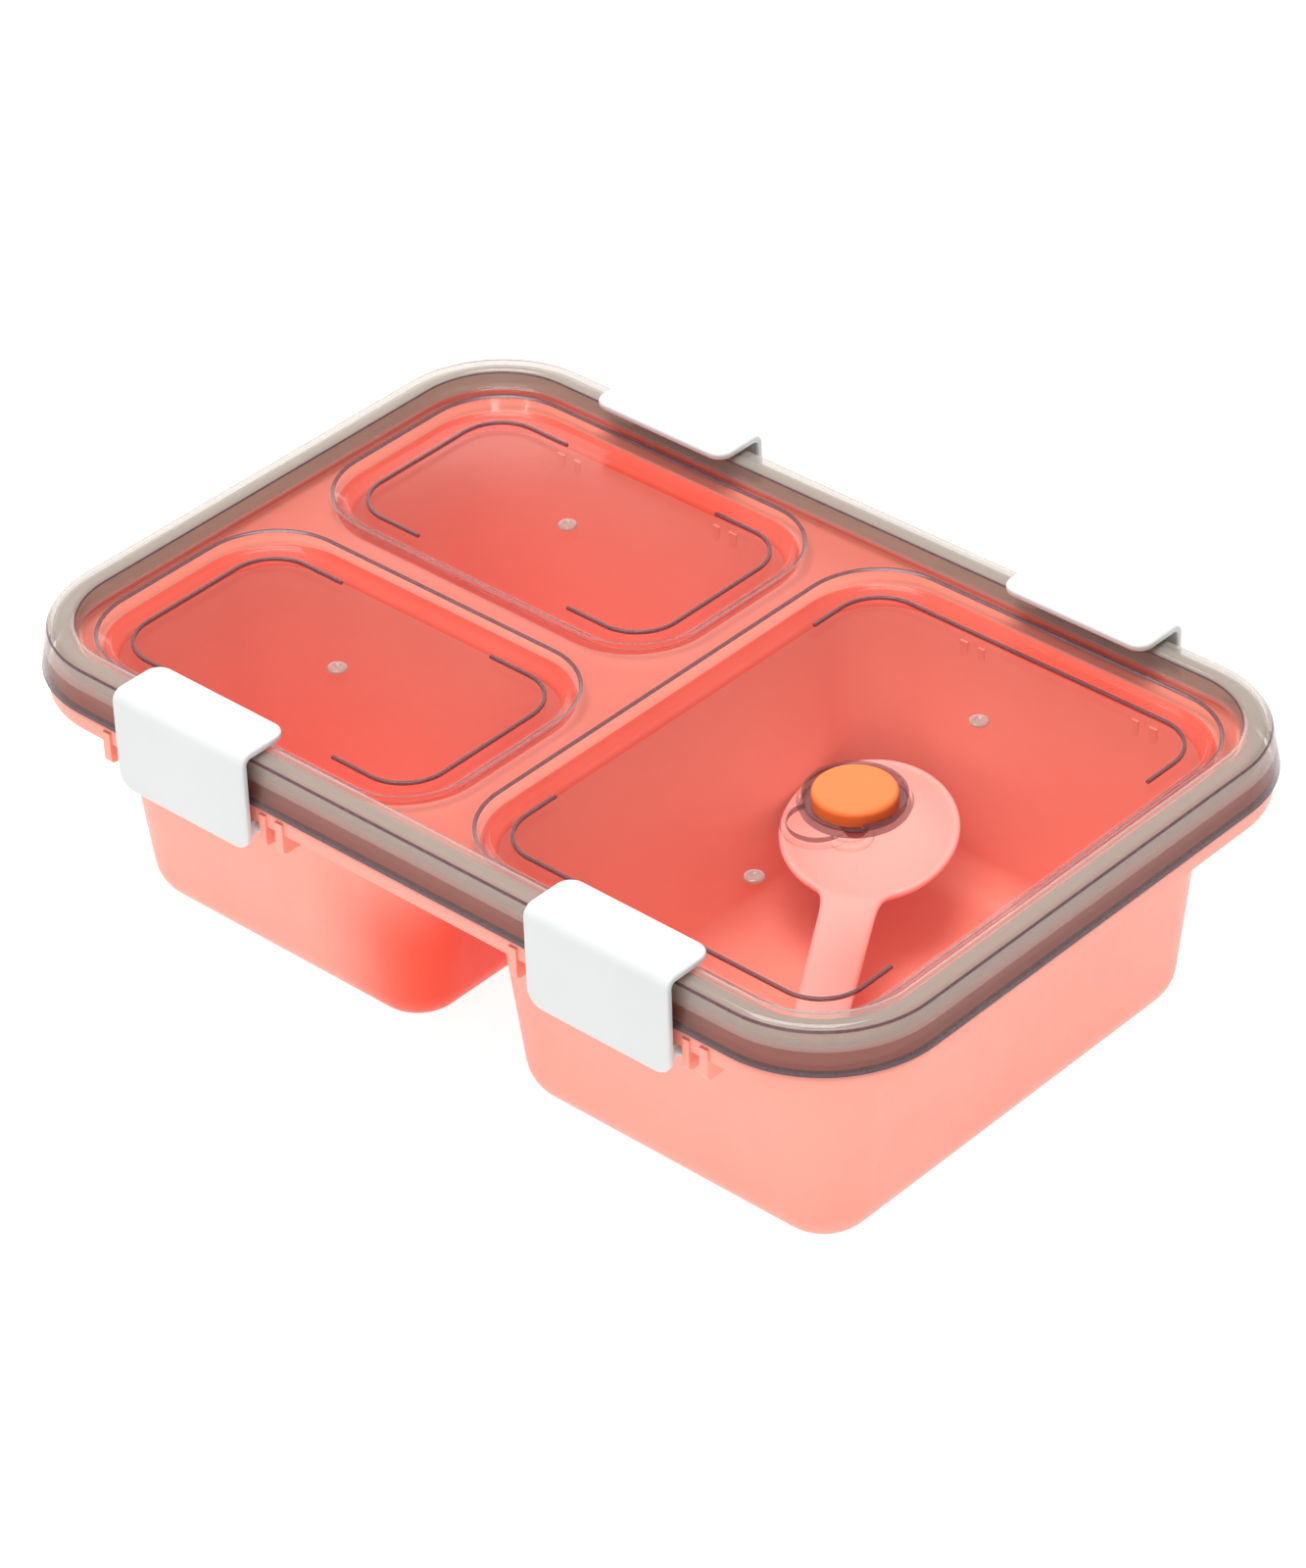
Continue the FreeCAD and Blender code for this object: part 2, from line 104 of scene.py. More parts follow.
@dataclass(frozen=True)
class Outline:
    """A rounded rectangle in plan."""

    x_low: float
    x_high: float
    y_low: float
    y_high: float
    radius: float

    @property
    def centre(self) -> Vector:
        """Middle of the outline."""
        return Vector(((self.x_low + self.x_high) / 2, (self.y_low + self.y_high) / 2, 0.0))

    @property
    def spans(self) -> tuple[float, float]:
        """Lengths along X and Y."""
        return self.x_high - self.x_low, self.y_high - self.y_low

    def grown(self, by: float) -> "Outline":
        """Outline moved outward all round by a distance, or inward where it is negative.

        Args:
            by: Distance outward, or inward where it is negative.

        Returns:
            The new outline, its corners grown alike.
        """
        return Outline(
            self.x_low - by, self.x_high + by, self.y_low - by, self.y_high + by, self.radius + by,
        )

    def mirrored(self) -> "Outline":
        """The same outline on the other side of the long middle line."""
        return Outline(self.x_low, self.x_high, -self.y_high, -self.y_low, self.radius)

    @property
    def to_mirrored(self) -> Matrix:
        """Move that takes a shape made on this outline to the mirrored one."""
        return Matrix.Translation((0.0, -2.0 * self.centre.y, 0.0))

    def spans_over(self, place: Vector) -> bool:
        """Whether a place is between the outline's sides, its corners taken as square."""
        return self.x_low < place.x < self.x_high and self.y_low < place.y < self.y_high

    def leaves_out(self, place: Vector) -> bool:
        """Whether a place is outside the outline, which has to lie evenly about the middle.

        Args:
            place: Place to test, in plan.

        Returns:
            True where the place is outside.
        """
        corner = Vector((abs(place.x) - self.x_high, abs(place.y) - self.y_high))
        if max(corner) > 0:
            return True
        reach = corner + Vector((self.radius, self.radius))
        return min(reach) > 0 and reach.length > self.radius


class Section:
    """A wall's section, walked from its outer foot as steps of inward and rise."""

    def __init__(self, heading: float) -> None:
        """Starts the walk.

        Args:
            heading: First direction, in degrees above inward.
        """
        self.heading = math.radians(heading)
        self.steps: list[tuple[float, float]] = []
        self.inward = 0.0
        self.rise = 0.0

    def _step(self, inward: float, rise: float) -> None:
        """Adds one step to the walk.

        Args:
            inward: Distance inward.
            rise: Distance upward.
        """
        self.steps.append((inward, rise))
        self.inward += inward
        self.rise += rise

    def run(self, inward: float, rise: float) -> "Section":
        """Goes straight and takes the run's direction as the new heading.

        Args:
            inward: Distance inward.
            rise: Distance upward.

        Returns:
            The section itself.
        """
        self._step(inward, rise)
        self.heading = math.atan2(rise, inward)
        return self

    def run_to(self, inward: float, rise: float) -> "Section":
        """Goes straight to a place counted from the walk's start."""
        return self.run(inward - self.inward, rise - self.rise)

    def bend(self, radius: float, heading: float, count: int = BEND_STEPS) -> "Section":
        """Turns along an arc.

        Args:
            radius: The arc's radius.
            heading: New direction, in degrees above inward.
            count: Number of straight steps that make up the arc.

        Returns:
            The section itself.
        """
        target = math.radians(heading)
        side = 1.0 if target > self.heading else -1.0
        angle = self.heading
        for index in range(count):
            following = self.heading + (target - self.heading) * (index + 1) / count
            inward = side * radius * (math.sin(following) - math.sin(angle))
            rise = side * radius * (math.cos(angle) - math.cos(following))
            self._step(inward, rise)
            angle = following
        self.heading = target
        return self


class Bench:
    """Blender's modelling tools, used the same way for every piece."""

    @staticmethod
    def start(add: Callable[[], None], name: str) -> bpy.types.Object:
        """Adds a primitive alone in the selection and settles its place into its mesh.

        Args:
            add: Call that adds the primitive.
            name: Name of the new object.

        Returns:
            The new object, at the origin.
        """
        bpy.ops.object.select_all(action="DESELECT")
        add()
        piece = bpy.context.object
        piece.name = name
        piece.data.name = name
        bpy.ops.object.transform_apply(location=True, rotation=True, scale=True)
        return piece

    @staticmethod
    def activate(piece: bpy.types.Object) -> None:
        """Makes one object the only selected and active one.

        Args:
            piece: Object to make active.
        """
        bpy.ops.object.select_all(action="DESELECT")
        piece.select_set(True)
        bpy.context.view_layer.objects.active = piece

    @staticmethod
    def edit(piece: bpy.types.Object, test: Test | None = None, mode: str = "VERT") -> None:
        """Enters edit mode with the points that pass a test selected.

        Args:
            piece: Object to edit.
            test: Says of a point whether it is selected. Without one, all are.
            mode: Selection mode, VERT, EDGE or FACE.
        """
        Bench.activate(piece)
        bpy.ops.object.mode_set(mode="EDIT")
        bpy.ops.mesh.select_mode(type="VERT")
        bpy.ops.mesh.select_all(action="DESELECT")
        bpy.ops.object.mode_set(mode="OBJECT")
        for vertex in piece.data.vertices:
            vertex.select = test is None or test(vertex.co)
        bpy.ops.object.mode_set(mode="EDIT")
        bpy.ops.mesh.select_mode(type=mode)

    @staticmethod
    def done() -> None:
        """Leaves edit mode."""
        bpy.ops.object.mode_set(mode="OBJECT")

    @staticmethod
    def plate(name: str, outline: Outline, z: float) -> bpy.types.Object:
        """Makes a flat rounded rectangle that faces up.

        Args:
            name: Name of the new object.
            outline: Its plan.
            z: Its height.

        Returns:
            An object with one face.
        """
        width, depth = outline.spans
        place = outline.centre + Vector((0.0, 0.0, z))
        piece = Bench.start(lambda: bpy.ops.mesh.primitive_plane_add(size=1.0, location=place), name)
        Bench.edit(piece)
        bpy.ops.transform.resize(value=(width, depth, 1.0), center_override=place)
        bpy.ops.mesh.bevel(offset=outline.radius, segments=CORNER_SEGMENTS, affect="VERTICES")
        Bench.done()
        return piece

    @staticmethod
    def disc(name: str, radius: float, centre: Vector, count: int = 64) -> bpy.types.Object:
        """Makes a flat disc that faces up.

        Args:
            name: Name of the new object.
            radius: Its radius.
            centre: Its middle.
            count: Number of its edges.

        Returns:
            An object with one face.
        """
        return Bench.start(
            lambda: bpy.ops.mesh.primitive_circle_add(
                vertices=count, radius=radius, fill_type="NGON", location=centre,
            ),
            name,
        )

    @staticmethod
    def walk(piece: bpy.types.Object, section: Section, open_end: bool) -> None:
        """Draws a wall along a section, from the edge of a one-face object inward.

        Args:
            piece: Object with one face, whose edge is the section's start.
            section: The wall's section.
            open_end: Whether the face that is left in the middle is taken out.
        """
        Bench.edit(piece, mode="FACE")
        for inward, rise in section.steps:
            bpy.ops.mesh.inset(thickness=max(inward, 0.0), depth=rise, use_even_offset=True)
        if open_end:
            bpy.ops.mesh.delete(type="ONLY_FACE")
        Bench.done()

    @staticmethod
    def close_foot(piece: bpy.types.Object, z: float) -> None:
        """Closes the open lower edge of a piece walked up from a disc.

        Args:
            piece: Object to close.
            z: Height of its open edge.
        """
        Bench.edit(piece, lambda point: abs(point.z - z) < NEAR, mode="EDGE")
        bpy.ops.mesh.edge_face_add()
        bpy.ops.mesh.select_all(action="SELECT")
        bpy.ops.mesh.normals_make_consistent(inside=False)
        Bench.done()

    @staticmethod
    def copy(piece: bpy.types.Object, move: Matrix) -> bpy.types.Object:
        """Copies a piece with its own mesh.

        Args:
            piece: Piece to copy.
            move: Takes the piece's mesh to the copy's place.

        Returns:
            The copy, its object at the origin and its place in its mesh.
        """
        twin = piece.copy()
        twin.data = piece.data.copy()
        twin.data.transform(move)
        bpy.context.collection.objects.link(twin)
        return twin

    @staticmethod
    def discard(piece: bpy.types.Object) -> None:
        """Deletes a tool or a pattern that has been used."""
        bpy.data.objects.remove(piece, do_unlink=True)

    @staticmethod
    def join(pieces: list[bpy.types.Object]) -> bpy.types.Object:
        """Joins objects into the first one.

        Args:
            pieces: Objects to join, the one that stays first.

        Returns:
            The joined object.
        """
        Bench.activate(pieces[0])
        for piece in pieces[1:]:
            piece.select_set(True)
        bpy.ops.object.join()
        return bpy.context.object

    @staticmethod
    def level(piece: bpy.types.Object, z: float) -> None:
        """Puts a wall's last ring exactly at a height, so that the face beside it is flat.

        Args:
            piece: Object that is changed.
            z: Height of the ring.
        """
        Bench.edit(piece, lambda point: abs(point.z - z) < RING_SLACK)
        bpy.ops.transform.resize(value=(1.0, 1.0, 0.0), center_override=(0.0, 0.0, z))
        Bench.done()

    @staticmethod
    def fill_level(piece: bpy.types.Object, z: float) -> None:
        """Fills the flat face that the open edges at one height leave between them.

        Args:
            piece: Object that is changed.
            z: Height of the open edges.
        """
        Bench.edit(piece, lambda point: abs(point.z - z) < LEVEL, mode="EDGE")
        bpy.ops.mesh.fill(use_beauty=True)
        Bench.done()

    @staticmethod
    def face_up(piece: bpy.types.Object, z: float) -> None:
        """Turns all faces the same way, with the flat face at one height looking up.

        Args:
            piece: Object that is changed.
            z: Height of the flat face.
        """
        Bench.edit(piece)
        bpy.ops.mesh.remove_doubles(threshold=LEVEL / 2)
        bpy.ops.mesh.normals_make_consistent(inside=False)
        Bench.done()
        flat = [face for face in piece.data.polygons if abs(face.center.z - z) < NEAR]
        if sum(face.normal.z * face.area for face in flat) < 0:
            Bench.edit(piece)
            bpy.ops.mesh.flip_normals()
            Bench.done()

    @staticmethod
    def apply(piece: bpy.types.Object, kind: str, **settings: object) -> None:
        """Adds a modifier, sets it and applies it.

        Args:
            piece: Object that is changed.
            kind: Modifier type.
            **settings: Values of the modifier's properties.
        """
        Bench.activate(piece)
        modifier = piece.modifiers.new(kind.title(), kind)
        for key, value in settings.items():
            setattr(modifier, key, value)
        bpy.ops.object.modifier_apply(modifier=modifier.name)

    @staticmethod
    def thicken(piece: bpy.types.Object, thickness: float) -> None:
        """Gives a sheet its wall, on the side its faces look away from.

        Args:
            piece: Sheet that is changed.
            thickness: Thickness of the wall.
        """
        Bench.apply(
            piece, "SOLIDIFY", thickness=thickness, offset=-1.0,
            use_even_offset=True, use_quality_normals=True,
        )

    @staticmethod
    def ring(
        name: str, outline: Outline, z: float, width: float, height: float, soft: float,
    ) -> bpy.types.Object:
        """Makes a closed upright ring round an outline, with soft edges.

        Args:
            name: Name of the new object.
            outline: The ring's outer plan.
            z: Height of its foot.
            width: Its thickness in plan.
            height: Its height.
            soft: Radius of its edges.

        Returns:
            The ring.
        """
        piece = Bench.plate(name, outline, z)
        section = Section(Heading.UP).run(0.0, height).run(width, 0.0).run(0.0, -height)
        Bench.walk(piece, section, open_end=True)
        Bench.edit(piece, lambda point: abs(point.z - z) < NEAR, mode="EDGE")
        bpy.ops.mesh.bridge_edge_loops()
        bpy.ops.mesh.select_all(action="SELECT")
        bpy.ops.mesh.normals_make_consistent(inside=False)
        Bench.done()
        Bench.soften(piece, soft)
        return piece

    @staticmethod
    def soften(piece: bpy.types.Object, radius: float, segments: int = 3, angle: float = 50.0) -> None:
        """Rounds the sharp edges of a closed piece.

        Args:
            piece: Piece to soften.
            radius: Radius of the rounding.
            segments: Number of faces across it.
            angle: Least angle between two faces that counts as an edge, in degrees.
        """
        Bench.apply(
            piece, "BEVEL", width=radius, segments=segments, limit_method="ANGLE",
            angle_limit=math.radians(angle), harden_normals=False,
        )

    @staticmethod
    def block(name: str, low: Vector, high: Vector) -> bpy.types.Object:
        """Makes a box between two corners, as the start of a rib or an ear.

        Args:
            name: Name of the new object.
            low: Lowest corner.
            high: Highest corner.

        Returns:
            The box.
        """
        size = high - low
        place = (low + high) / 2
        piece = Bench.start(lambda: bpy.ops.mesh.primitive_cube_add(size=1.0, location=place), name)
        Bench.edit(piece)
        bpy.ops.transform.resize(value=tuple(size), center_override=place)
        Bench.done()
        return piece

    @staticmethod
    def rod(name: str, radius: float, low: Vector, high: Vector, count: int = 32) -> bpy.types.Object:
        """Makes a round bar between two points, with chamfered ends.

        Args:
            name: Name of the new object.
            radius: Its radius.
            low: One end of its axis.
            high: The other end of its axis.
            count: Number of its sides.

        Returns:
            The closed bar.
        """
        axis = high - low
        turn = axis.to_track_quat("Z", "Y").to_euler()
        piece = Bench.start(
            lambda: bpy.ops.mesh.primitive_cylinder_add(
                vertices=count, radius=radius, depth=axis.length, location=(low + high) / 2, rotation=turn,
            ),
            name,
        )
        Bench.soften(piece, radius * 0.2, segments=2)
        return piece

    @staticmethod
    def cut(piece: bpy.types.Object, tool: bpy.types.Object, operation: str) -> None:
        """Cuts with, or adds, a closed tool and deletes it.

        Args:
            piece: Piece that is changed.
            tool: Closed shape that cuts or is added.
            operation: DIFFERENCE or UNION.
        """
        Bench.apply(piece, "BOOLEAN", operation=operation, object=tool, solver="EXACT")
        Bench.discard(tool)

    @staticmethod
    def smooth(piece: bpy.types.Object) -> None:
        """Shades round stretches smooth and keeps real corners sharp.

        Args:
            piece: Object that is shaded.
        """
        Bench.activate(piece)
        bpy.ops.object.shade_smooth_by_angle(angle=SMOOTH_ANGLE)
        Bench.apply(piece, "WEIGHTED_NORMAL", mode="FACE_AREA", weight=90, keep_sharp=True)


class NodeSheet:
    """One material's node tree, with short ways to add and link nodes."""

    NOISE_SPAN = (0.3, 0.7)

    def __init__(self, name: str) -> None:
        """Makes an empty material that reads object coordinates.

        Args:
            name: Name of the material.
        """
        self.material = bpy.data.materials.new(name)
        self.material.use_nodes = True
        self.tree = self.material.node_tree
        self.tree.nodes.clear()
        self.output = self.tree.nodes.new("ShaderNodeOutputMaterial")
        self.place = self.tree.nodes.new("ShaderNodeTexCoord").outputs["Object"]

    def add(self, kind: str, links: dict[str, object] | None = None, **values: object) -> bpy.types.Node:
        """Adds a node.

        Args:
            kind: The node's type.
            links: Input names, with the socket or the value each one takes.
            **values: Properties of the node itself.

        Returns:
            The node.
        """
        node = self.tree.nodes.new(kind)
        for key, value in values.items():
            setattr(node, key, value)
        for key, value in (links or {}).items():
            if isinstance(value, bpy.types.NodeSocket):
                self.tree.links.new(value, node.inputs[key])
            else:
                node.inputs[key].default_value = value
        return node

    def noise(self, scale: float, detail: float = 3.0) -> bpy.types.NodeSocket:
        """Cloudy pattern with features about 1/scale metres across."""
        node = self.add("ShaderNodeTexNoise", {"Vector": self.place, "Scale": scale, "Detail": detail})
        return node.outputs["Fac"]

    def ramp(self, value: bpy.types.NodeSocket, low: float, high: float) -> bpy.types.NodeSocket:
        """Stretches the middle of a noise pattern to run from low to high.

        Args:
            value: The pattern.
            low: Result at the low end of its middle.
            high: Result at the high end of its middle.

        Returns:
            A socket that holds the result.
        """
        least, most = self.NOISE_SPAN
        node = self.add(
            "ShaderNodeMapRange",
            {"Value": value, "From Min": least, "From Max": most, "To Min": low, "To Max": high},
        )
        return node.outputs["Result"]

    def fade(self, value: bpy.types.NodeSocket, start: float, end: float) -> bpy.types.NodeSocket:
        """Smooth change from 0 to 1 as a value goes from start to end.

        Args:
            value: The value that changes.
            start: Value where the result is 0.
            end: Value where the result is 1.

        Returns:
            A socket that holds the result.
        """
        node = self.add(
            "ShaderNodeMapRange", {"Value": value, "From Min": start, "From Max": end},
            interpolation_type="SMOOTHSTEP",
        )
        return node.outputs["Result"]

    def blend(self, share: bpy.types.NodeSocket, one: object, two: object) -> bpy.types.NodeSocket:
        """Mixes two colours, each given as a value or a socket, by a pattern.

        Args:
            share: How much of the second colour shows.
            one: First colour.
            two: Second colour.

        Returns:
            A socket that holds the mixed colour.
        """
        node = self.add("ShaderNodeMix", data_type="RGBA")
        self.tree.links.new(share, node.inputs[0])
        for place, colour in ((6, one), (7, two)):
            if isinstance(colour, bpy.types.NodeSocket):
                self.tree.links.new(colour, node.inputs[place])
            else:
                node.inputs[place].default_value = colour
        return node.outputs[2]

    def bump(self, height: bpy.types.NodeSocket, strength: float, distance: float) -> bpy.types.NodeSocket:
        """Surface relief from a pattern."""
        node = self.add("ShaderNodeBump", {"Height": height, "Strength": strength, "Distance": distance})
        return node.outputs["Normal"]

    def product(self, one: bpy.types.NodeSocket, two: bpy.types.NodeSocket) -> bpy.types.NodeSocket:
        """One amount times another.

        Args:
            one: First amount.
            two: Second amount.

        Returns:
            A socket that holds the product.
        """
        node = self.add("ShaderNodeMath", operation="MULTIPLY")
        self.tree.links.new(one, node.inputs[0])
        self.tree.links.new(two, node.inputs[1])
        return node.outputs[0]

    def mix(self, share: object, one: bpy.types.Node, two: bpy.types.Node) -> bpy.types.Node:
        """Mixes two shaders.

        Args:
            share: How much of the second shader shows, as a number or a socket.
            one: First shader.
            two: Second shader.

        Returns:
            The mixing node.
        """
        node = self.add("ShaderNodeMixShader", {"Fac": share})
        self.tree.links.new(one.outputs[0], node.inputs[1])
        self.tree.links.new(two.outputs[0], node.inputs[2])
        return node

    def finish(self, shader: bpy.types.Node) -> bpy.types.Material:
        """Links the last shader to the output and returns the material."""
        self.tree.links.new(shader.outputs[0], self.output.inputs["Surface"])
        return self.material


@dataclass(frozen=True)
class MouldedPlastic:
    """Opaque or slightly translucent moulded plastic or silicone, with an optional painted glow that stands
    for light caught between the tray's wells.
    """

    name: str
    colour: Colour
    second_colour: Colour
    roughness: tuple[float, float]
    grain_scale: float = 2600.0
    grain_strength: float = 0.12
    grain_depth: float = 0.05 * MM
    cloud_scale: float = 34.0
    fleck_scale: float = 476.0
    through: float = 0.0
    through_colour: Colour = WHITE
    painted_glow_colour: Colour | None = None
    glow_x: tuple[float, float] = (-46.0 * MM, -12.0 * MM)
    past_x: tuple[float, float] = (1.0 * MM, -4.0 * MM)
    glow_z: tuple[float, float] = (58.0 * MM, 20.0 * MM)

    def build(self) -> bpy.types.Material:
        """Makes the material.

        Returns:
            The finished material.
        """
        sheet = NodeSheet(self.name)
        cloud = sheet.noise(self.cloud_scale)
        flecks = sheet.noise(self.fleck_scale, detail=5.0)
        grain = sheet.noise(self.grain_scale, detail=2.0)
        colour = sheet.blend(sheet.ramp(cloud, 0.0, 1.0), self.colour, self.second_colour)
        # Painted light: a redder colour blended in towards the gap between the wells, standing for the light
        # caught between their facing walls.
        if self.painted_glow_colour is not None:
            colour = sheet.blend(self.between_wells(sheet), colour, self.painted_glow_colour)
        shader = sheet.add(
            "ShaderNodeBsdfPrincipled",
            {
                "Base Color": colour,
                "Roughness": sheet.ramp(flecks, *self.roughness),
                "Normal": sheet.bump(grain, self.grain_strength, self.grain_depth),
            },
        )
        if self.through > 0:
            glow = sheet.add("ShaderNodeBsdfTranslucent", {"Color": self.through_colour})
            shader = sheet.mix(self.through, shader, glow)
        return sheet.finish(shader)

    def between_wells(self, sheet: NodeSheet) -> bpy.types.NodeSocket:
        """How much painted glow stands for the light caught between the facing walls of the wells, from 0 to
        1.

        Args:
            sheet: Material that gets the nodes.

        Returns:
            A socket that rises along X to the gap between the wells and falls to 0 past it.
        """
        axes = sheet.add("ShaderNodeSeparateXYZ", {"Vector": sheet.place})
        along = sheet.fade(axes.outputs["X"], *self.glow_x)
        past = sheet.fade(axes.outputs["X"], *self.past_x)
        below = sheet.fade(axes.outputs["Z"], *self.glow_z)
        return sheet.product(sheet.product(along, past), below)


@dataclass(frozen=True)
class BacklitSilicone:
    """Soft silicone that lets some of the light behind it through."""

    name: str
    colour: Colour
    through_colour: Colour
    share: float
    clear_share: float
    roughness: float = 0.45
    specular: float = 0.3
    grain_scale: float = 900.0
    grain_strength: float = 0.15
    grain_depth: float = 0.05 * MM
    cloud_scale: float = 60.0
    cloud_shade: float = 0.94

    def build(self) -> bpy.types.Material:
        """Makes the material.

        Returns:
            The finished material.
        """
        sheet = NodeSheet(self.name)
        normal = sheet.bump(sheet.noise(self.grain_scale), self.grain_strength, self.grain_depth)
        cloud = sheet.ramp(sheet.noise(self.cloud_scale), 0.0, 1.0)
        body = sheet.add(
            "ShaderNodeBsdfPrincipled",
            {
                "Base Color": sheet.blend(cloud, self.colour, shade(self.colour, self.cloud_shade)),
                "Roughness": self.roughness,
                "Normal": normal,
                "Specular IOR Level": self.specular,
            },
        )
        glow = sheet.add("ShaderNodeBsdfTranslucent", {"Color": self.through_colour, "Normal": normal})
        clear = sheet.add("ShaderNodeBsdfTransparent", {"Color": self.through_colour})
        return sheet.finish(sheet.mix(self.clear_share, sheet.mix(self.share, body, glow), clear))


@dataclass(frozen=True)
class SmokyClear:
    """Clear plastic with a light smoke, darker where it is seen edge on, with a polished skin."""

    name: str
    passed: Colour
    smoke: Colour
    face_smoke: float
    edge_smoke: float
    face_gloss: float
    edge_gloss: float
    gloss_roughness: float = 0.06
    ripple_scale: float = 45.0
    ripple_strength: float = 0.05
    ripple_depth: float = 0.2 * MM
    haze_scale: float = 320.0
    haze: tuple[float, float] = (0.22, 0.34)
    lateness: float = 4.0

    def build(self) -> bpy.types.Material:
        """Makes the material.

        Returns:
            The finished material.
        """
        sheet = NodeSheet(self.name)
        ripple = sheet.bump(sheet.noise(self.ripple_scale), self.ripple_strength, self.ripple_depth)
        facing = sheet.add("ShaderNodeLayerWeight", {"Blend": 0.5}).outputs["Facing"]
        clear = sheet.add("ShaderNodeBsdfTransparent", {"Color": self.passed})
        body = sheet.add(
            "ShaderNodeBsdfPrincipled",
            {"Base Color": self.smoke, "Roughness": sheet.ramp(sheet.noise(self.haze_scale), *self.haze)},
        )
        smoked = sheet.mix(self.rise(sheet, facing, self.face_smoke, self.edge_smoke), clear, body)
        gloss = sheet.add("ShaderNodeBsdfGlossy", {"Roughness": self.gloss_roughness, "Normal": ripple})
        shine = self.rise(sheet, facing, self.face_gloss, self.edge_gloss)
        return sheet.finish(sheet.mix(shine, smoked, gloss))

    def rise(
        self, sheet: NodeSheet, facing: bpy.types.NodeSocket, face: float, edge: float,
    ) -> bpy.types.NodeSocket:
        """Amount that goes from one value face on to another edge on, late and fast.

        Args:
            sheet: Material that gets the nodes.
            facing: Socket that goes from 0 face on to 1 edge on.
            face: Amount face on.
            edge: Amount edge on.

        Returns:
            A socket that holds the amount.
        """
        late = sheet.add("ShaderNodeMath", operation="POWER")
        sheet.tree.links.new(facing, late.inputs[0])
        late.inputs[1].default_value = self.lateness
        node = sheet.add("ShaderNodeMapRange", {"Value": late.outputs[0], "To Min": face, "To Max": edge})
        return node.outputs["Result"]


@dataclass(frozen=True)
class LightTable:
    """Plain white ground that glows evenly."""

    name: str
    colour: Colour
    glow: float
    roughness: float = 0.8
    specular: float = 0.1

    def build(self) -> bpy.types.Material:
        """Makes the material.

        Returns:
            The finished material.
        """
        sheet = NodeSheet(self.name)
        shader = sheet.add(
            "ShaderNodeBsdfPrincipled",
            {
                "Base Color": self.colour,
                "Roughness": self.roughness,
                "Specular IOR Level": self.specular,
                "Emission Color": WHITE,
                "Emission Strength": self.glow,
            },
        )
        return sheet.finish(shader)


# The tray's third colour, tint(240, 70, 36), is painted light: the glow caught between the wells' facing
# walls.
TRAY_PLASTIC = MouldedPlastic(
    "tray_plastic", tint(253, 162, 144), tint(251, 156, 137), (0.36, 0.46), painted_glow_colour=tint(240, 70, 36),
)
# Painted shade: the tray's own plastic in a deeper red, for the shaded mouths of the wells.
WELL_LIP_PAINTED_SHADE = MouldedPlastic("well_lip_painted_shade", tint(248, 108, 86), tint(245, 98, 76), (0.36, 0.46))
PANEL_CLEAR = SmokyClear(
    "panel_clear", tint(253, 249, 248), tint(96, 82, 80), face_smoke=0.0, edge_smoke=0.8,
    face_gloss=0.02, edge_gloss=0.4,
)
WEB_CLEAR = SmokyClear(
    "web_clear", tint(247, 235, 233), tint(120, 100, 98), face_smoke=0.02, edge_smoke=0.8,
    face_gloss=0.02, edge_gloss=0.4,
)
RIM_CLEAR = SmokyClear(
    "rim_clear", tint(242, 239, 236), tint(188, 181, 172), face_smoke=0.3, edge_smoke=0.85,
    face_gloss=0.03, edge_gloss=0.4,
)
# Painted shade: darker smoke and a dimmer pass-through on the skirt's lower band, standing for the shade
# under the lid's edge.
SKIRT_PAINTED_SHADE = SmokyClear(
    "skirt_painted_shade", tint(230, 214, 208), tint(150, 128, 118), face_smoke=0.14, edge_smoke=0.85,
    face_gloss=0.03, edge_gloss=0.4,
)
# Painted shade: darker smoke on the fine ribs and the vent's pocket and notch walls, standing for the grey
# their refracting edges show.
RIB_PAINTED_SHADE = SmokyClear(
    "rib_painted_shade", tint(208, 192, 194), tint(120, 92, 98), face_smoke=0.45, edge_smoke=0.9,
    face_gloss=0.03, edge_gloss=0.4,
)
# Painted shade: nearly opaque dark smoke on the lid's bends and feet, standing for the dark lines the bent
# clear sheet shows there.
BEND_PAINTED_SHADE = SmokyClear(
    "bend_painted_shade", tint(180, 158, 163), tint(98, 74, 82), face_smoke=0.75, edge_smoke=0.92,
    face_gloss=0.01, edge_gloss=0.1,
)
SEAL_SILICONE = BacklitSilicone(
    "seal_silicone", tint(205, 197, 187), tint(252, 244, 236), share=0.25, clear_share=0.5,
)
CLIP_PLASTIC = MouldedPlastic("clip_plastic", tint(212, 215, 214), tint(208, 211, 210), (0.34, 0.44))
VENT_SILICONE = MouldedPlastic(
    "vent_silicone", tint(252, 127, 58), tint(250, 120, 52), (0.5, 0.6),
    through=0.1, through_colour=tint(255, 90, 30),
)
SPOON_PLASTIC = MouldedPlastic("spoon_plastic", tint(255, 194, 185), tint(252, 188, 178), (0.42, 0.52))
LIGHT_TABLE = LightTable("light_table", tint(170, 170, 170), glow=0.88)


def dress(piece: bpy.types.Object, material: bpy.types.Material) -> None:
    """Gives a piece one material all over."""
    piece.data.materials.clear()
    piece.data.materials.append(material)


def hand_over(piece: bpy.types.Object, body: str, node: str) -> None:
    """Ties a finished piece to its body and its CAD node.

    Args:
        piece: The finished piece.
        body: Body that it moves with.
        node: CAD node that it stands for.
    """
    Bench.smooth(piece)
    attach(piece, body)
    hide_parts(node)
    LOG.info("%s: %d faces, rides on %s", piece.name, len(piece.data.polygons), body)


CLIP_NODES = ("clip_front_left", "clip_front_right", "clip_rear_left", "clip_rear_right")


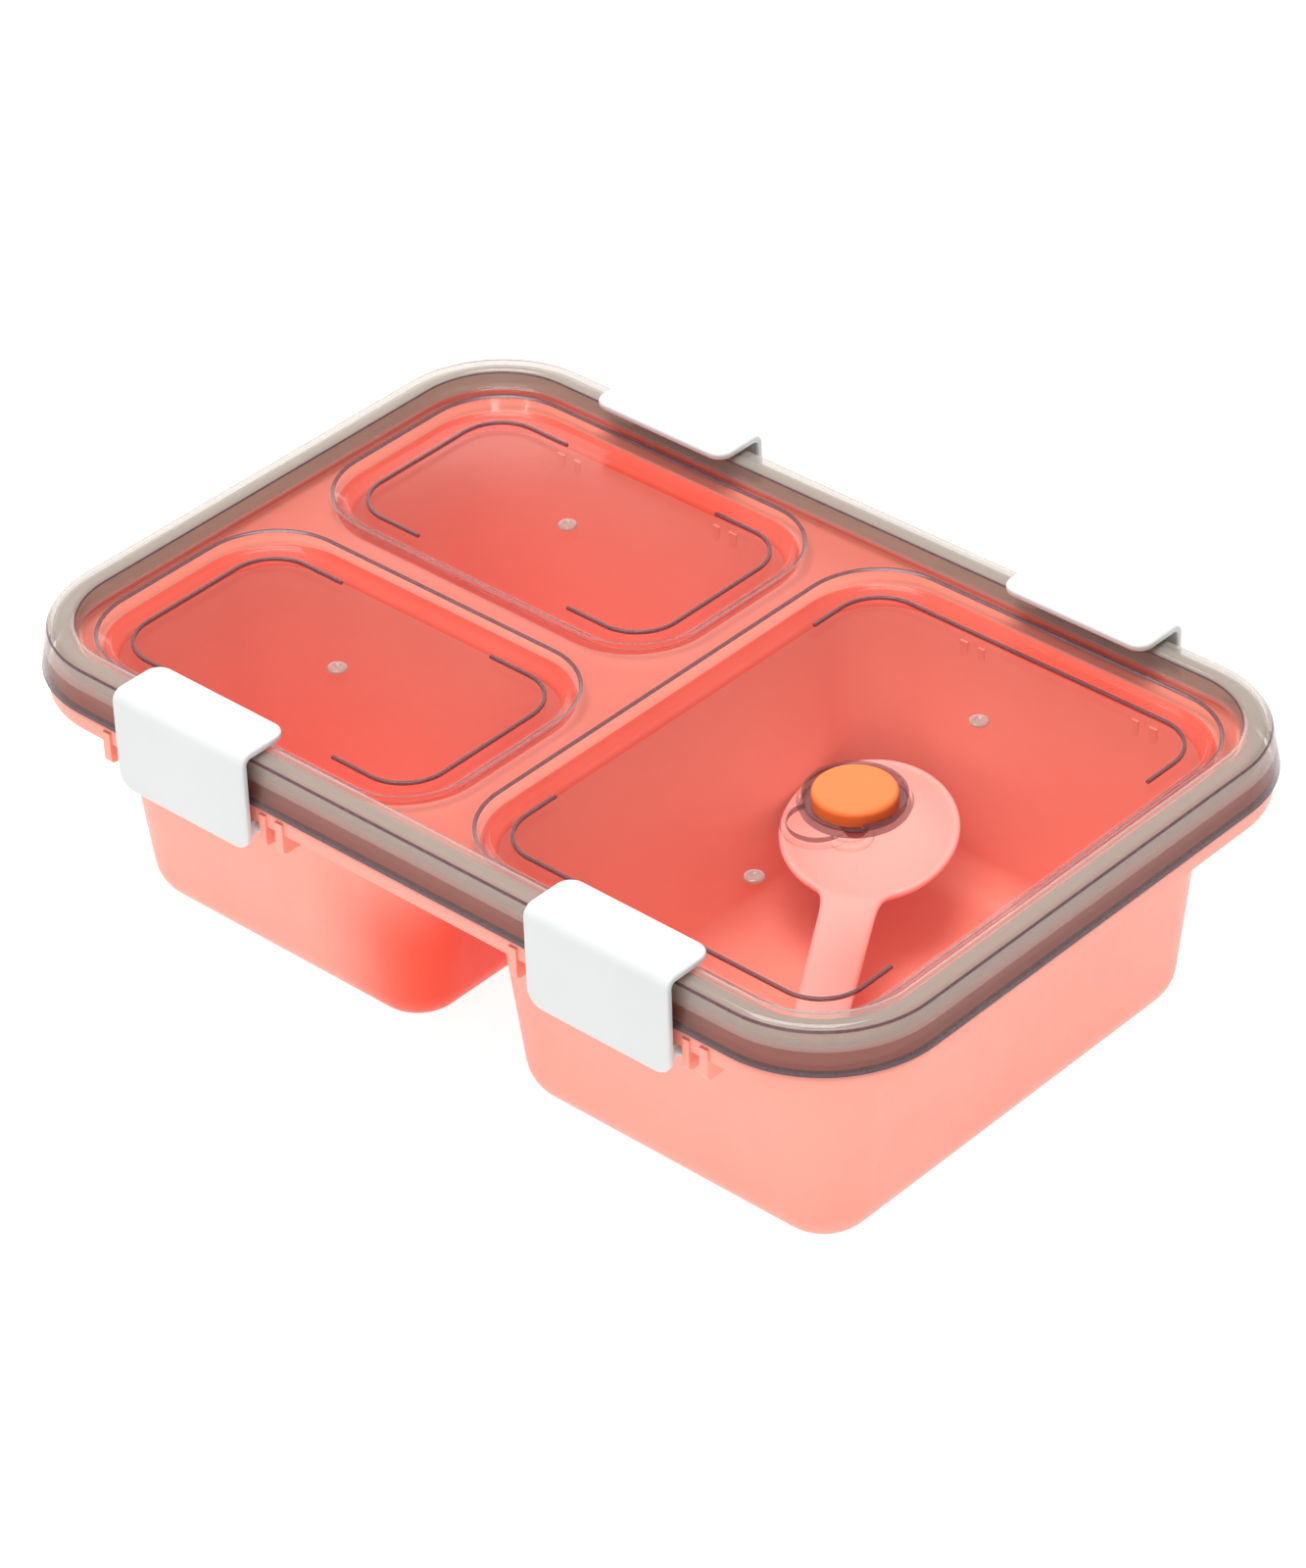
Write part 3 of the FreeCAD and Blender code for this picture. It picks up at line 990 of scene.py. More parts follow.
def clip_home(node: str) -> Matrix:
    """Move that takes a shape made at the rear, with its middle on the Y axis, to a clip's place.

    Args:
        node: The clip's CAD node.

    Returns:
        A move along X, after half a turn for a clip at the front.
    """
    low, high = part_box(node)
    along = Matrix.Translation(((low.x + high.x) / 2, 0.0, 0.0))
    return along if high.y > 0 else along @ HALF_TURN


@dataclass
class Tray:
    """The coral tray: flange, deck, three wells, sealing bead and hinge ribs."""

    wall: float = 2.0 * MM
    deck_z: float = 62.6 * MM
    flange_top_z: float = 59.2 * MM
    flange_foot_z: float = 54.8 * MM
    extra_length: float = 40.0 * MM
    corner_radius: float = 26.6 * MM
    flange_bend: float = 1.8 * MM
    step_inset: float = 3.2 * MM
    step_bend: float = 0.6 * MM
    deck_bend: float = 1.9 * MM
    bead_width: float = 1.8 * MM
    bead_inset: float = 2.8 * MM
    bead_root: float = 0.2 * MM
    bead_top_z: float = 63.9 * MM
    bead_edge: float = 0.5 * MM
    mouth_grow: float = 1.57 * MM
    mouth_bend: float = 1.0 * MM
    flare: float = 3.9 * MM
    flare_depth: float = 3.0 * MM
    flare_stop: tuple[float, float] = (1.2 * MM, 0.9 * MM)
    flare_bend: float = 2.5 * MM
    draft: float = 0.11
    floor_bend: float = 8.0 * MM
    floor_steps: int = 8
    small_well: Outline = Outline(-103.4 * MM, -7.3 * MM, 5.4 * MM, 64.0 * MM, 17.5 * MM)
    large_well: Outline = Outline(4.6 * MM, 103.4 * MM, -64.0 * MM, 64.0 * MM, 17.5 * MM)
    lip_spare: float = 0.2 * MM
    lip_depth: float = 3.5 * MM
    lip_slope: float = 0.1
    rib_spans: tuple[tuple[float, float], ...] = ((19.4 * MM, 21.2 * MM), (23.8 * MM, 26.0 * MM))
    rib_foot_z: float = 50.0 * MM
    rib_root_y: float = 61.5 * MM
    rib_outer_y: float = 76.2 * MM
    rib_root: float = 0.4 * MM
    rib_corner: float = 1.2 * MM
    rib_edge: float = 0.25 * MM
    parts: list[bpy.types.Object] = field(default_factory=list)

    @property
    def flange(self) -> Outline:
        """Outer plan of the flange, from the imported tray.

        Returns:
            Outline at the flange's foot.
        """
        low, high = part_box("base_tray")
        half_y = high.x - self.extra_length
        return Outline(low.x, high.x, -half_y, half_y, self.corner_radius)

    def build_shell(self) -> None:
        """Makes the flange, the deck and the wells as one sheet and gives it its wall."""
        rim = Bench.plate("base_tray_piece", self.flange, self.flange_foot_z)
        top = self.flange_top_z - self.flange_foot_z
        deck = self.deck_z - self.flange_foot_z
        section = Section(Heading.UP).run_to(0.0, top - self.flange_bend)
        section.bend(self.flange_bend, Heading.INWARD).run_to(self.step_inset - self.step_bend, top)
        section.bend(self.step_bend, Heading.UP).run_to(self.step_inset, deck - self.deck_bend)
        section.bend(self.deck_bend, Heading.INWARD)
        Bench.walk(rim, section, open_end=True)
        Bench.level(rim, self.deck_z)
        rear_well = self.well_sheet(self.small_well)
        front_well = Bench.copy(rear_well, self.small_well.to_mirrored)
        shell = Bench.join([rim, rear_well, front_well, self.well_sheet(self.large_well)])
        Bench.fill_level(shell, self.deck_z)
        Bench.face_up(shell, self.deck_z)
        Bench.thicken(shell, self.wall)
        self.parts.append(shell)

    def well_sheet(self, well: Outline) -> bpy.types.Object:
        """Makes one well as a sheet that hangs from the deck.

        Args:
            well: Outer plan of the well at the deck's height.

        Returns:
            The sheet, open at its mouth.
        """
        sheet = Bench.plate("well_sheet", well.grown(self.mouth_grow), self.deck_z)
        slope = -math.degrees(math.atan2(self.flare_depth, self.flare))
        upright = -math.degrees(math.atan(1.0 / self.draft))
        stop_in, stop_up = self.flare_stop
        section = Section(Heading.INWARD).bend(self.mouth_bend, slope)
        section.run_to(self.flare - stop_in, -self.flare_depth + stop_up).bend(self.flare_bend, upright)
        bend_drop = self.floor_bend * (1.0 - math.cos(math.radians(upright)))
        floor_drop = self.deck_z - self.wall
        fall = floor_drop - bend_drop + section.rise
        section.run(fall * self.draft, -fall).bend(self.floor_bend, Heading.INWARD, count=self.floor_steps)
        Bench.walk(sheet, section, open_end=False)
        return sheet

    def build_bead(self) -> None:
        """Makes the bead that presses on the lid's seal."""
        outline = self.flange.grown(-self.bead_inset)
        foot = self.flange_top_z - self.bead_root
        height = self.bead_top_z - foot
        self.parts.append(Bench.ring("bead", outline, foot, self.bead_width, height, self.bead_edge))

    def hinge_rib(self, width: float) -> bpy.types.Object:
        """Makes one hinge rib, as if at the rear with its middle on the Y axis.

        Args:
            width: The rib's width along X.

        Returns:
            The rib, with its outer lower corner rounded and its edges softened.
        """
        under_flange = self.flange_top_z - self.wall + self.rib_root
        rib = Bench.block(
            "hinge_rib",
            Vector((-width / 2, self.rib_root_y, self.rib_foot_z)),
            Vector((width / 2, self.rib_outer_y, under_flange)),
        )
        Bench.edit(
            rib,
            lambda point: point.y > self.rib_outer_y - NEAR and point.z < self.rib_foot_z + NEAR,
            mode="EDGE",
        )
        bpy.ops.mesh.bevel(offset=self.rib_corner, segments=4, affect="EDGES")
        Bench.done()
        Bench.soften(rib, self.rib_edge, segments=2)
        return rib

    def build_hinge_ribs(self) -> None:
        """Copies the two kinds of rib to both ends of each clip."""
        ribs = [((near + far) / 2, self.hinge_rib(far - near)) for near, far in self.rib_spans]
        for clip in CLIP_NODES:
            home = clip_home(clip)
            for offset, rib in ribs:
                for way in (-1.0, 1.0):
                    self.parts.append(Bench.copy(rib, home @ Matrix.Translation((way * offset, 0.0, 0.0))))
        for _, rib in ribs:
            Bench.discard(rib)

    def paint_lip_shade(self, tray: bpy.types.Object) -> None:
        """Gives the flared lips of the wells the tray's second finish, a deeper red that is painted shade of
        the wells' insides.

        Args:
            tray: The whole tray, with both of its finishes.
        """
        grow = self.mouth_grow + self.lip_spare
        wells = (self.small_well, self.small_well.mirrored(), self.large_well)
        mouths = [well.grown(grow) for well in wells]
        low, high = self.deck_z - self.lip_depth, self.deck_z - NEAR
        for face in tray.data.polygons:
            at = face.center
            if not (low < at.z < high and face.normal.z > self.lip_slope):
                continue
            if any(mouth.spans_over(at) for mouth in mouths):
                face.material_index = 1

    def build(self, material: bpy.types.Material, lip_shade_material: bpy.types.Material) -> None:
        """Builds the whole tray and dresses it.

        Args:
            material: Finish of the tray.
            lip_shade_material: Deeper red of the lips of its wells, painted shade.
        """
        self.build_shell()
        self.build_bead()
        self.build_hinge_ribs()
        tray = Bench.join(self.parts)
        tray.name = "tray"
        dress(tray, material)
        tray.data.materials.append(lip_shade_material)
        self.paint_lip_shade(tray)
        hand_over(tray, "tray", "base_tray")


class LidZone(Enum):
    """Zones of the lid that have their own finish."""

    PANEL = 0
    WEB = 1
    RIM = 2
    SKIRT = 3
    RIB = 4
    BEND = 5


LID_FINISHES = {
    LidZone.PANEL: PANEL_CLEAR,
    LidZone.WEB: WEB_CLEAR,
    LidZone.RIM: RIM_CLEAR,
    LidZone.SKIRT: SKIRT_PAINTED_SHADE,
    LidZone.RIB: RIB_PAINTED_SHADE,
    LidZone.BEND: BEND_PAINTED_SHADE,
}


@dataclass(frozen=True)
class Hollow:
    """One round hollow sunk in the large panel, placed from the vent's middle."""

    offset: tuple[float, float]
    radius: float
    floor_z: float


@dataclass
class Lid:
    """The clear lid: rim channel, web, three panels, fine ribs, gate marks and vent pocket."""

    wall: float = 1.3 * MM
    web_z: float = 66.0 * MM
    panel_z: float = 63.5 * MM
    foot_z: float = 59.6 * MM
    corner_radius: float = 27.8 * MM
    skirt_draft: float = 1.8 * MM
    skirt_shares: tuple[float, ...] = (0.1, 0.52, 0.38)
    skirt_change_z: float = 64.2 * MM
    rim_bend: float = 2.2 * MM
    rim_width: float = 5.8 * MM
    inner_bend: float = 1.4 * MM
    inner_reach: float = 1.12 * MM
    inner_fall: float = 85.0
    inner_draft: float = 0.2 * MM
    web_bend: float = 1.0 * MM
    small_panel: Outline = Outline(-105.5 * MM, -5.0 * MM, 4.0 * MM, 66.0 * MM, 18.0 * MM)
    large_panel: Outline = Outline(2.5 * MM, 105.5 * MM, -66.0 * MM, 66.0 * MM, 18.0 * MM)
    panel_grow: float = 0.4 * MM
    panel_bend: float = 1.6 * MM
    panel_foot_bend: float = 1.2 * MM
    panel_fall: float = 40.0
    rib_inset: float = 7.3 * MM
    rib_width: float = 0.8 * MM
    rib_height: float = 0.45 * MM
    rib_root: float = 0.3 * MM
    rib_edge: float = 0.15 * MM
    small_rib_gap: float = 43.0 * MM
    large_rib_gap: float = 79.0 * MM
    pocket: Hollow = Hollow((0.0, 0.0), 10.5 * MM, 60.9 * MM)
    notch: Hollow = Hollow((0.0, -11.6 * MM), 6.2 * MM, 61.6 * MM)
    tab: Hollow = Hollow((7.5 * MM, -10.4 * MM), 3.6 * MM, 62.2 * MM)
    mouth_rise: float = 1.0 * MM
    mouth_flare: float = 0.5 * MM
    stem_hole_radius: float = 2.9 * MM
    stem_hole_reach: tuple[float, float] = (-4.0 * MM, 1.0 * MM)
    gate_radius: float = 2.1 * MM
    gate_root: float = 0.2 * MM
    gate_bend: float = 0.35 * MM
    gate_rim: float = 0.6 * MM
    gate_dish: tuple[float, float] = (0.45 * MM, -0.3 * MM)
    gate_places: tuple[tuple[float, float], ...] = (
        (-55.2 * MM, 35.0 * MM), (-55.2 * MM, -35.0 * MM), (58.5 * MM, 34.5 * MM), (58.5 * MM, -34.5 * MM),
    )
    panel_line_slopes: tuple[float, float] = (0.74, 0.985)
    panel_line_rise: float = 1.5 * MM
    rim_line_slopes: tuple[float, float] = (0.48, 0.62)
    rim_line_depth: float = 1.6 * MM
    foot_line: float = 0.5 * MM
    vent_spare: float = 0.6 * MM
    zone_spare: float = 0.1 * MM
    rim_spare: float = 0.2 * MM

    @property
    def skirt(self) -> Outline:
        """Plan of the skirt's foot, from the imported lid."""
        low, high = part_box("lid")
        return Outline(low.x, high.x, low.y, high.y, self.corner_radius)

    @property
    def top_z(self) -> float:
        """Height of the rim."""
        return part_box("lid")[1].z

    @property
    def vent(self) -> Vector:
        """Middle of the vent in plan."""
        low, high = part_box("vent_plug")
        return Vector(((low.x + high.x) / 2, (low.y + high.y) / 2, 0.0))

    @property
    def hollows(self) -> tuple[Hollow, Hollow, Hollow]:
        """The vent's pocket, its finger notch and the notch's side lobe."""
        return self.pocket, self.notch, self.tab

    def build_shell(self) -> bpy.types.Object:
        """Makes the rim, the web and the panels as one sheet and gives it its wall.

        Returns:
            The closed shell, without its vent, ribs and gate marks.
        """
        rim = Bench.plate("lid_piece", self.skirt, self.foot_z)
        Bench.walk(rim, self.rim_section(), open_end=True)
        Bench.level(rim, self.web_z)
        rear_panel = self.panel_sheet(self.small_panel)
        front_panel = Bench.copy(rear_panel, self.small_panel.to_mirrored)
        shell = Bench.join([rim, rear_panel, front_panel, self.panel_sheet(self.large_panel)])
        Bench.fill_level(shell, self.web_z)
        Bench.face_up(shell, self.web_z)
        Bench.thicken(shell, self.wall)
        return shell

    def rim_section(self) -> Section:
        """Section from the skirt's foot over the rim and down to the web.

        Returns:
            The section, from the skirt's foot inward.
        """
        height = self.top_z - self.foot_z
        steep = math.degrees(math.atan2(height, self.skirt_draft))
        straight = height - self.rim_bend * (1.0 - math.cos(math.radians(steep)))
        section = Section(steep)
        for share in self.skirt_shares:
            section.run(share * straight * self.skirt_draft / height, share * straight)
        section.bend(self.rim_bend, Heading.INWARD)
        inner_edge = self.skirt_draft + self.rim_width
        section.run_to(inner_edge - self.inner_reach, height).bend(self.inner_bend, -self.inner_fall)
        web = self.web_z - self.foot_z
        foot_rise = self.web_bend * (1.0 - math.cos(math.radians(self.inner_fall)))
        section.run(self.inner_draft, web + foot_rise - section.rise)
        return section.bend(self.web_bend, Heading.INWARD)

    def panel_sheet(self, panel: Outline) -> bpy.types.Object:
        """Makes one shallow panel as a sheet that hangs from the web.

        Args:
            panel: Plan of the panel.

        Returns:
            The sheet, open at its upper edge.
        """
        sheet = Bench.plate("panel_sheet", panel.grown(self.panel_grow), self.web_z)
        angle = math.radians(self.panel_fall)
        section = Section(Heading.INWARD).bend(self.panel_bend, -self.panel_fall)
        foot_rise = self.panel_foot_bend * (1.0 - math.cos(angle))
        fall = self.web_z - self.panel_z + section.rise - foot_rise
        section.run(fall / math.tan(angle), -fall).bend(self.panel_foot_bend, Heading.INWARD)
        Bench.walk(sheet, section, open_end=False)
        return sheet

    def fine_ribs(self, panel: Outline, gap: float) -> list[bpy.types.Object]:
        """Makes the two thin C-shaped ribs of a panel, the second as a turned copy of the first.

        Args:
            panel: Plan of the panel.
            gap: Length left open between the ribs.

        Returns:
            The two closed ribs.
        """
        width, depth = panel.spans
        along = Vector((1.0, 0.0, 0.0)) if width > depth else Vector((0.0, 1.0, 0.0))
        foot = self.panel_z - self.rib_root
        height = self.rib_height + self.rib_root
        outline = panel.grown(-self.rib_inset)
        rib = Bench.ring("fine_rib", outline, foot, self.rib_width, height, self.rib_edge)
        Bench.edit(rib)
        bpy.ops.mesh.bisect(
            plane_co=panel.centre - along * gap / 2, plane_no=-along, clear_inner=True, use_fill=True,
        )
        Bench.done()
        to_centre = Matrix.Translation(panel.centre)
        turned = to_centre @ HALF_TURN @ to_centre.inverted()
        return [rib, Bench.copy(rib, turned)]

    def all_fine_ribs(self) -> list[bpy.types.Object]:
        """Makes the ribs of the three panels, those of the front small panel as copies.

        Returns:
            Six ribs, two for each panel.
        """
        rear = self.fine_ribs(self.small_panel, self.small_rib_gap)
        front = [Bench.copy(rib, self.small_panel.to_mirrored) for rib in rear]
        return rear + front + self.fine_ribs(self.large_panel, self.large_rib_gap)

    def gate_marks(self) -> list[bpy.types.Object]:
        """Makes the small dished button that the moulding gate leaves, and copies it to its places.

        Returns:
            Four marks, each in its place.
        """
        foot_z = self.panel_z - self.gate_root
        mark = Bench.disc("gate_mark", self.gate_radius, Vector((0.0, 0.0, foot_z)), count=32)
        section = Section(Heading.UP).run(0.0, self.gate_bend).bend(self.gate_bend, Heading.INWARD, count=3)
        section.run(self.gate_rim, 0.0).run(*self.gate_dish)
        Bench.walk(mark, section, open_end=False)
        Bench.close_foot(mark, foot_z)
        marks = [Bench.copy(mark, Matrix.Translation((x, y, 0.0))) for x, y in self.gate_places]
        Bench.discard(mark)
        return marks

    def add_vent_pocket(self, shell: bpy.types.Object) -> None:
        """Adds the pocket's boss under the large panel, then sinks the pocket and its notch.

        Args:
            shell: Shell that is changed.
        """
        vent = self.vent
        for hollow in self.hollows:
            centre = vent + Vector((*hollow.offset, 0.0))
            low = Vector((centre.x, centre.y, hollow.floor_z - self.wall))
            high = Vector((centre.x, centre.y, self.panel_z - self.wall / 2))
            Bench.cut(shell, Bench.rod("boss", hollow.radius + self.wall, low, high, count=64), "UNION")
        for hollow in self.hollows:
            Bench.cut(shell, self.hollow_tool(vent, hollow), "DIFFERENCE")
        below, above = self.stem_hole_reach
        low = Vector((vent.x, vent.y, self.pocket.floor_z + below))
        high = Vector((vent.x, vent.y, self.pocket.floor_z + above))
        Bench.cut(shell, Bench.rod("stem_hole", self.stem_hole_radius, low, high), "DIFFERENCE")

    def hollow_tool(self, vent: Vector, hollow: Hollow) -> bpy.types.Object:
        """Makes a round cutter whose mouth flares, so that the hollow gets a soft edge.

        Args:
            vent: Middle of the vent in plan.
            hollow: The hollow to cut.

        Returns:
            The closed cutter, its mouth above the panel.
        """
        mouth_z = self.panel_z + self.mouth_rise
        centre = vent + Vector((*hollow.offset, 0.0))
        tool = Bench.disc("hollow_tool", hollow.radius + self.mouth_flare, centre)
        Bench.edit(tool)
        bpy.ops.transform.translate(value=(0.0, 0.0, mouth_z))
        bpy.ops.mesh.flip_normals()
        bpy.ops.mesh.select_mode(type="FACE")
        depth = self.panel_z - hollow.floor_z
        steps = (
            (0.0, self.mouth_rise), (0.2 * MM, 0.15 * MM), (0.3 * MM, 0.4 * MM),
            (0.0, depth - 0.95 * MM), (0.12 * MM, 0.28 * MM), (0.28 * MM, 0.12 * MM),
        )
        for inward, fall in steps:
            bpy.ops.mesh.inset(thickness=inward, depth=fall, use_even_offset=True)
        Bench.done()
        Bench.close_foot(tool, mouth_z)
        return tool

    def on_shade_line(self, face: bpy.types.MeshPolygon, top_z: float) -> bool:
        """Whether a face is on one of the bends or feet that get painted shade as thin dark lines.

        Args:
            face: Face to test.
            top_z: Height of the rim.

        Returns:
            True where the face is on a line.
        """
        height, slope = face.center.z, face.normal.z
        if self.panel_z + self.panel_line_rise < height < self.web_z - NEAR / 2:
            return self.panel_line_slopes[0] < slope < self.panel_line_slopes[1]
        if height < self.foot_z + self.foot_line:
            return True
        least, most = self.rim_line_slopes
        return height > top_z - self.rim_line_depth and least < slope < most

    def in_vent(self, face: bpy.types.MeshPolygon, vent: Vector) -> bool:
        """Whether a face is in the vent's pocket or on its notch's upright wall.

        Args:
            face: Face to test.
            vent: Middle of the vent in plan.

        Returns:
            True where the face is in the vent.
        """
        if face.center.z > self.panel_z - self.zone_spare:
            return False
        away = Vector((face.center.x - vent.x, face.center.y - vent.y, 0.0))
        if away.length < self.pocket.radius + self.vent_spare:
            return True
        beside = (away - Vector((*self.notch.offset, 0.0))).length < self.notch.radius + self.vent_spare
        return beside and abs(face.normal.z) < 0.5

    def paint(
        self, lid: bpy.types.Object, finishes: dict[LidZone, bpy.types.Material], starts: list[int],
    ) -> None:
        """Gives each zone of the lid its finish.

        Args:
            lid: The whole lid.
            finishes: Finish of each zone.
            starts: Numbers of the first face of the fine ribs and of the first one of the gate marks.
        """
        lid.data.materials.clear()
        for zone in LidZone:
            lid.data.materials.append(finishes[zone])
        inner_edge = self.skirt.grown(-self.skirt_draft - self.rim_width - self.rim_spare)
        web_low = self.web_z - self.wall - self.zone_spare
        top_z, vent = self.top_z, self.vent
        first_rib, first_mark = starts
        for index, face in enumerate(lid.data.polygons):
            zone = LidZone.PANEL
            if index >= first_mark:
                zone = LidZone.RIM
            # Fine ribs and the vent's walls get darker smoke, painted shade of their refracting edges.
            elif index >= first_rib or self.in_vent(face, vent):
                zone = LidZone.RIB
            # Bends and feet get painted shade as thin dark lines.
            elif self.on_shade_line(face, top_z):
                zone = LidZone.BEND
            elif inner_edge.leaves_out(face.center):
                # Below the change height the skirt gets darker smoke, painted shade.
                zone = LidZone.RIM if face.center.z > self.skirt_change_z else LidZone.SKIRT
            elif face.center.z > web_low and abs(face.normal.z) > 0.98:
                zone = LidZone.WEB
            face.material_index = zone.value

    def build(self, finishes: dict[LidZone, bpy.types.Material]) -> None:
        """Builds the whole lid and dresses it.

        Args:
            finishes: Finish of each zone.
        """
        shell = self.build_shell()
        self.add_vent_pocket(shell)
        parts = [shell]
        starts = [len(shell.data.polygons)]
        parts += self.all_fine_ribs()
        starts.append(sum(len(part.data.polygons) for part in parts))
        parts += self.gate_marks()
        lid = Bench.join(parts)
        lid.name = "clear_lid"
        self.paint(lid, finishes, starts)
        hand_over(lid, "lid", "lid")


@dataclass
class SealRing:
    """The silicone ring in the top of the lid's channel."""

    corner_radius: float = 24.6 * MM
    width: float = 3.0 * MM
    spare: float = 0.3 * MM
    rise: float = 0.6 * MM
    edge: float = 0.6 * MM

    def build(self, material: bpy.types.Material) -> None:
        """Builds the ring and dresses it.

        Args:
            material: Finish of the ring.
        """
        low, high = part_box("lid_gasket")
        outline = Outline(low.x, high.x, low.y, high.y, self.corner_radius).grown(self.spare)
        height = high.z - low.z + self.rise
        ring = Bench.ring("seal_ring", outline, low.z, self.width, height, self.edge)
        dress(ring, material)
        hand_over(ring, "lid", "lid_gasket")


@dataclass
class VentPlug:
    """The vent's round cap with its stem and barb."""

    cap_height: float = 3.3 * MM
    edge_bend: float = 1.1 * MM
    dish: float = 0.25 * MM
    dish_rim: float = 2.4 * MM
    dish_width: float = 1.4 * MM
    stem_radius: float = 2.5 * MM
    stem_root: float = 0.5 * MM
    stem_edge: float = 0.25 * MM
    tip_radius: float = 1.9 * MM
    barb_radius: float = 3.4 * MM
    barb_height: float = 2.4 * MM

    def cap(self, radius: float, foot: Vector) -> bpy.types.Object:
        """Makes the dished cap, up from the middle of its lower face.

        Args:
            radius: Radius of the cap.
            foot: Middle of its lower face.

        Returns:
            The closed cap.
        """
        cap = Bench.disc("vent_cap", radius, foot)
        section = Section(Heading.UP).run(0.0, self.cap_height - self.edge_bend)
        section.bend(self.edge_bend, Heading.INWARD).run(self.dish_rim, 0.0).run(self.dish_width, -self.dish)
        Bench.walk(cap, section, open_end=False)
        Bench.close_foot(cap, foot.z)
        return cap

    def stem(self, foot: Vector, cap_foot_z: float) -> bpy.types.Object:
        """Makes the barb and the stem over it.

        Args:
            foot: Middle of the barb's tip.
            cap_foot_z: Height of the cap's lower face.

        Returns:
            The closed stem, its top inside the cap.
        """
        stem = Bench.disc("vent_stem", self.tip_radius, foot, count=40)
        Bench.edit(stem, mode="FACE")
        barb_share = self.barb_radius / self.tip_radius
        bpy.ops.mesh.extrude_region_move(TRANSFORM_OT_translate={"value": (0.0, 0.0, self.barb_height)})
        top = foot + Vector((0.0, 0.0, self.barb_height))
        bpy.ops.transform.resize(value=(barb_share, barb_share, 1.0), center_override=top)
        bpy.ops.mesh.inset(thickness=self.barb_radius - self.stem_radius, depth=0.0)
        rise = cap_foot_z - top.z + self.stem_root
        bpy.ops.mesh.extrude_region_move(TRANSFORM_OT_translate={"value": (0.0, 0.0, rise)})
        Bench.done()
        Bench.close_foot(stem, foot.z)
        Bench.soften(stem, self.stem_edge, segments=2, angle=30.0)
        return stem

    def build(self, material: bpy.types.Material) -> None:
        """Builds the plug and dresses it.

        Args:
            material: Finish of the plug.
        """
        low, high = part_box("vent_plug")
        centre = (low + high) / 2
        cap_foot = Vector((centre.x, centre.y, high.z - self.cap_height))
        cap = self.cap((high.x - low.x) / 2, cap_foot)
        plug = Bench.join([cap, self.stem(Vector((centre.x, centre.y, low.z)), cap_foot.z)])
        plug.name = "vent_plug_cap"
        dress(plug, material)
        hand_over(plug, "vent", "vent_plug")


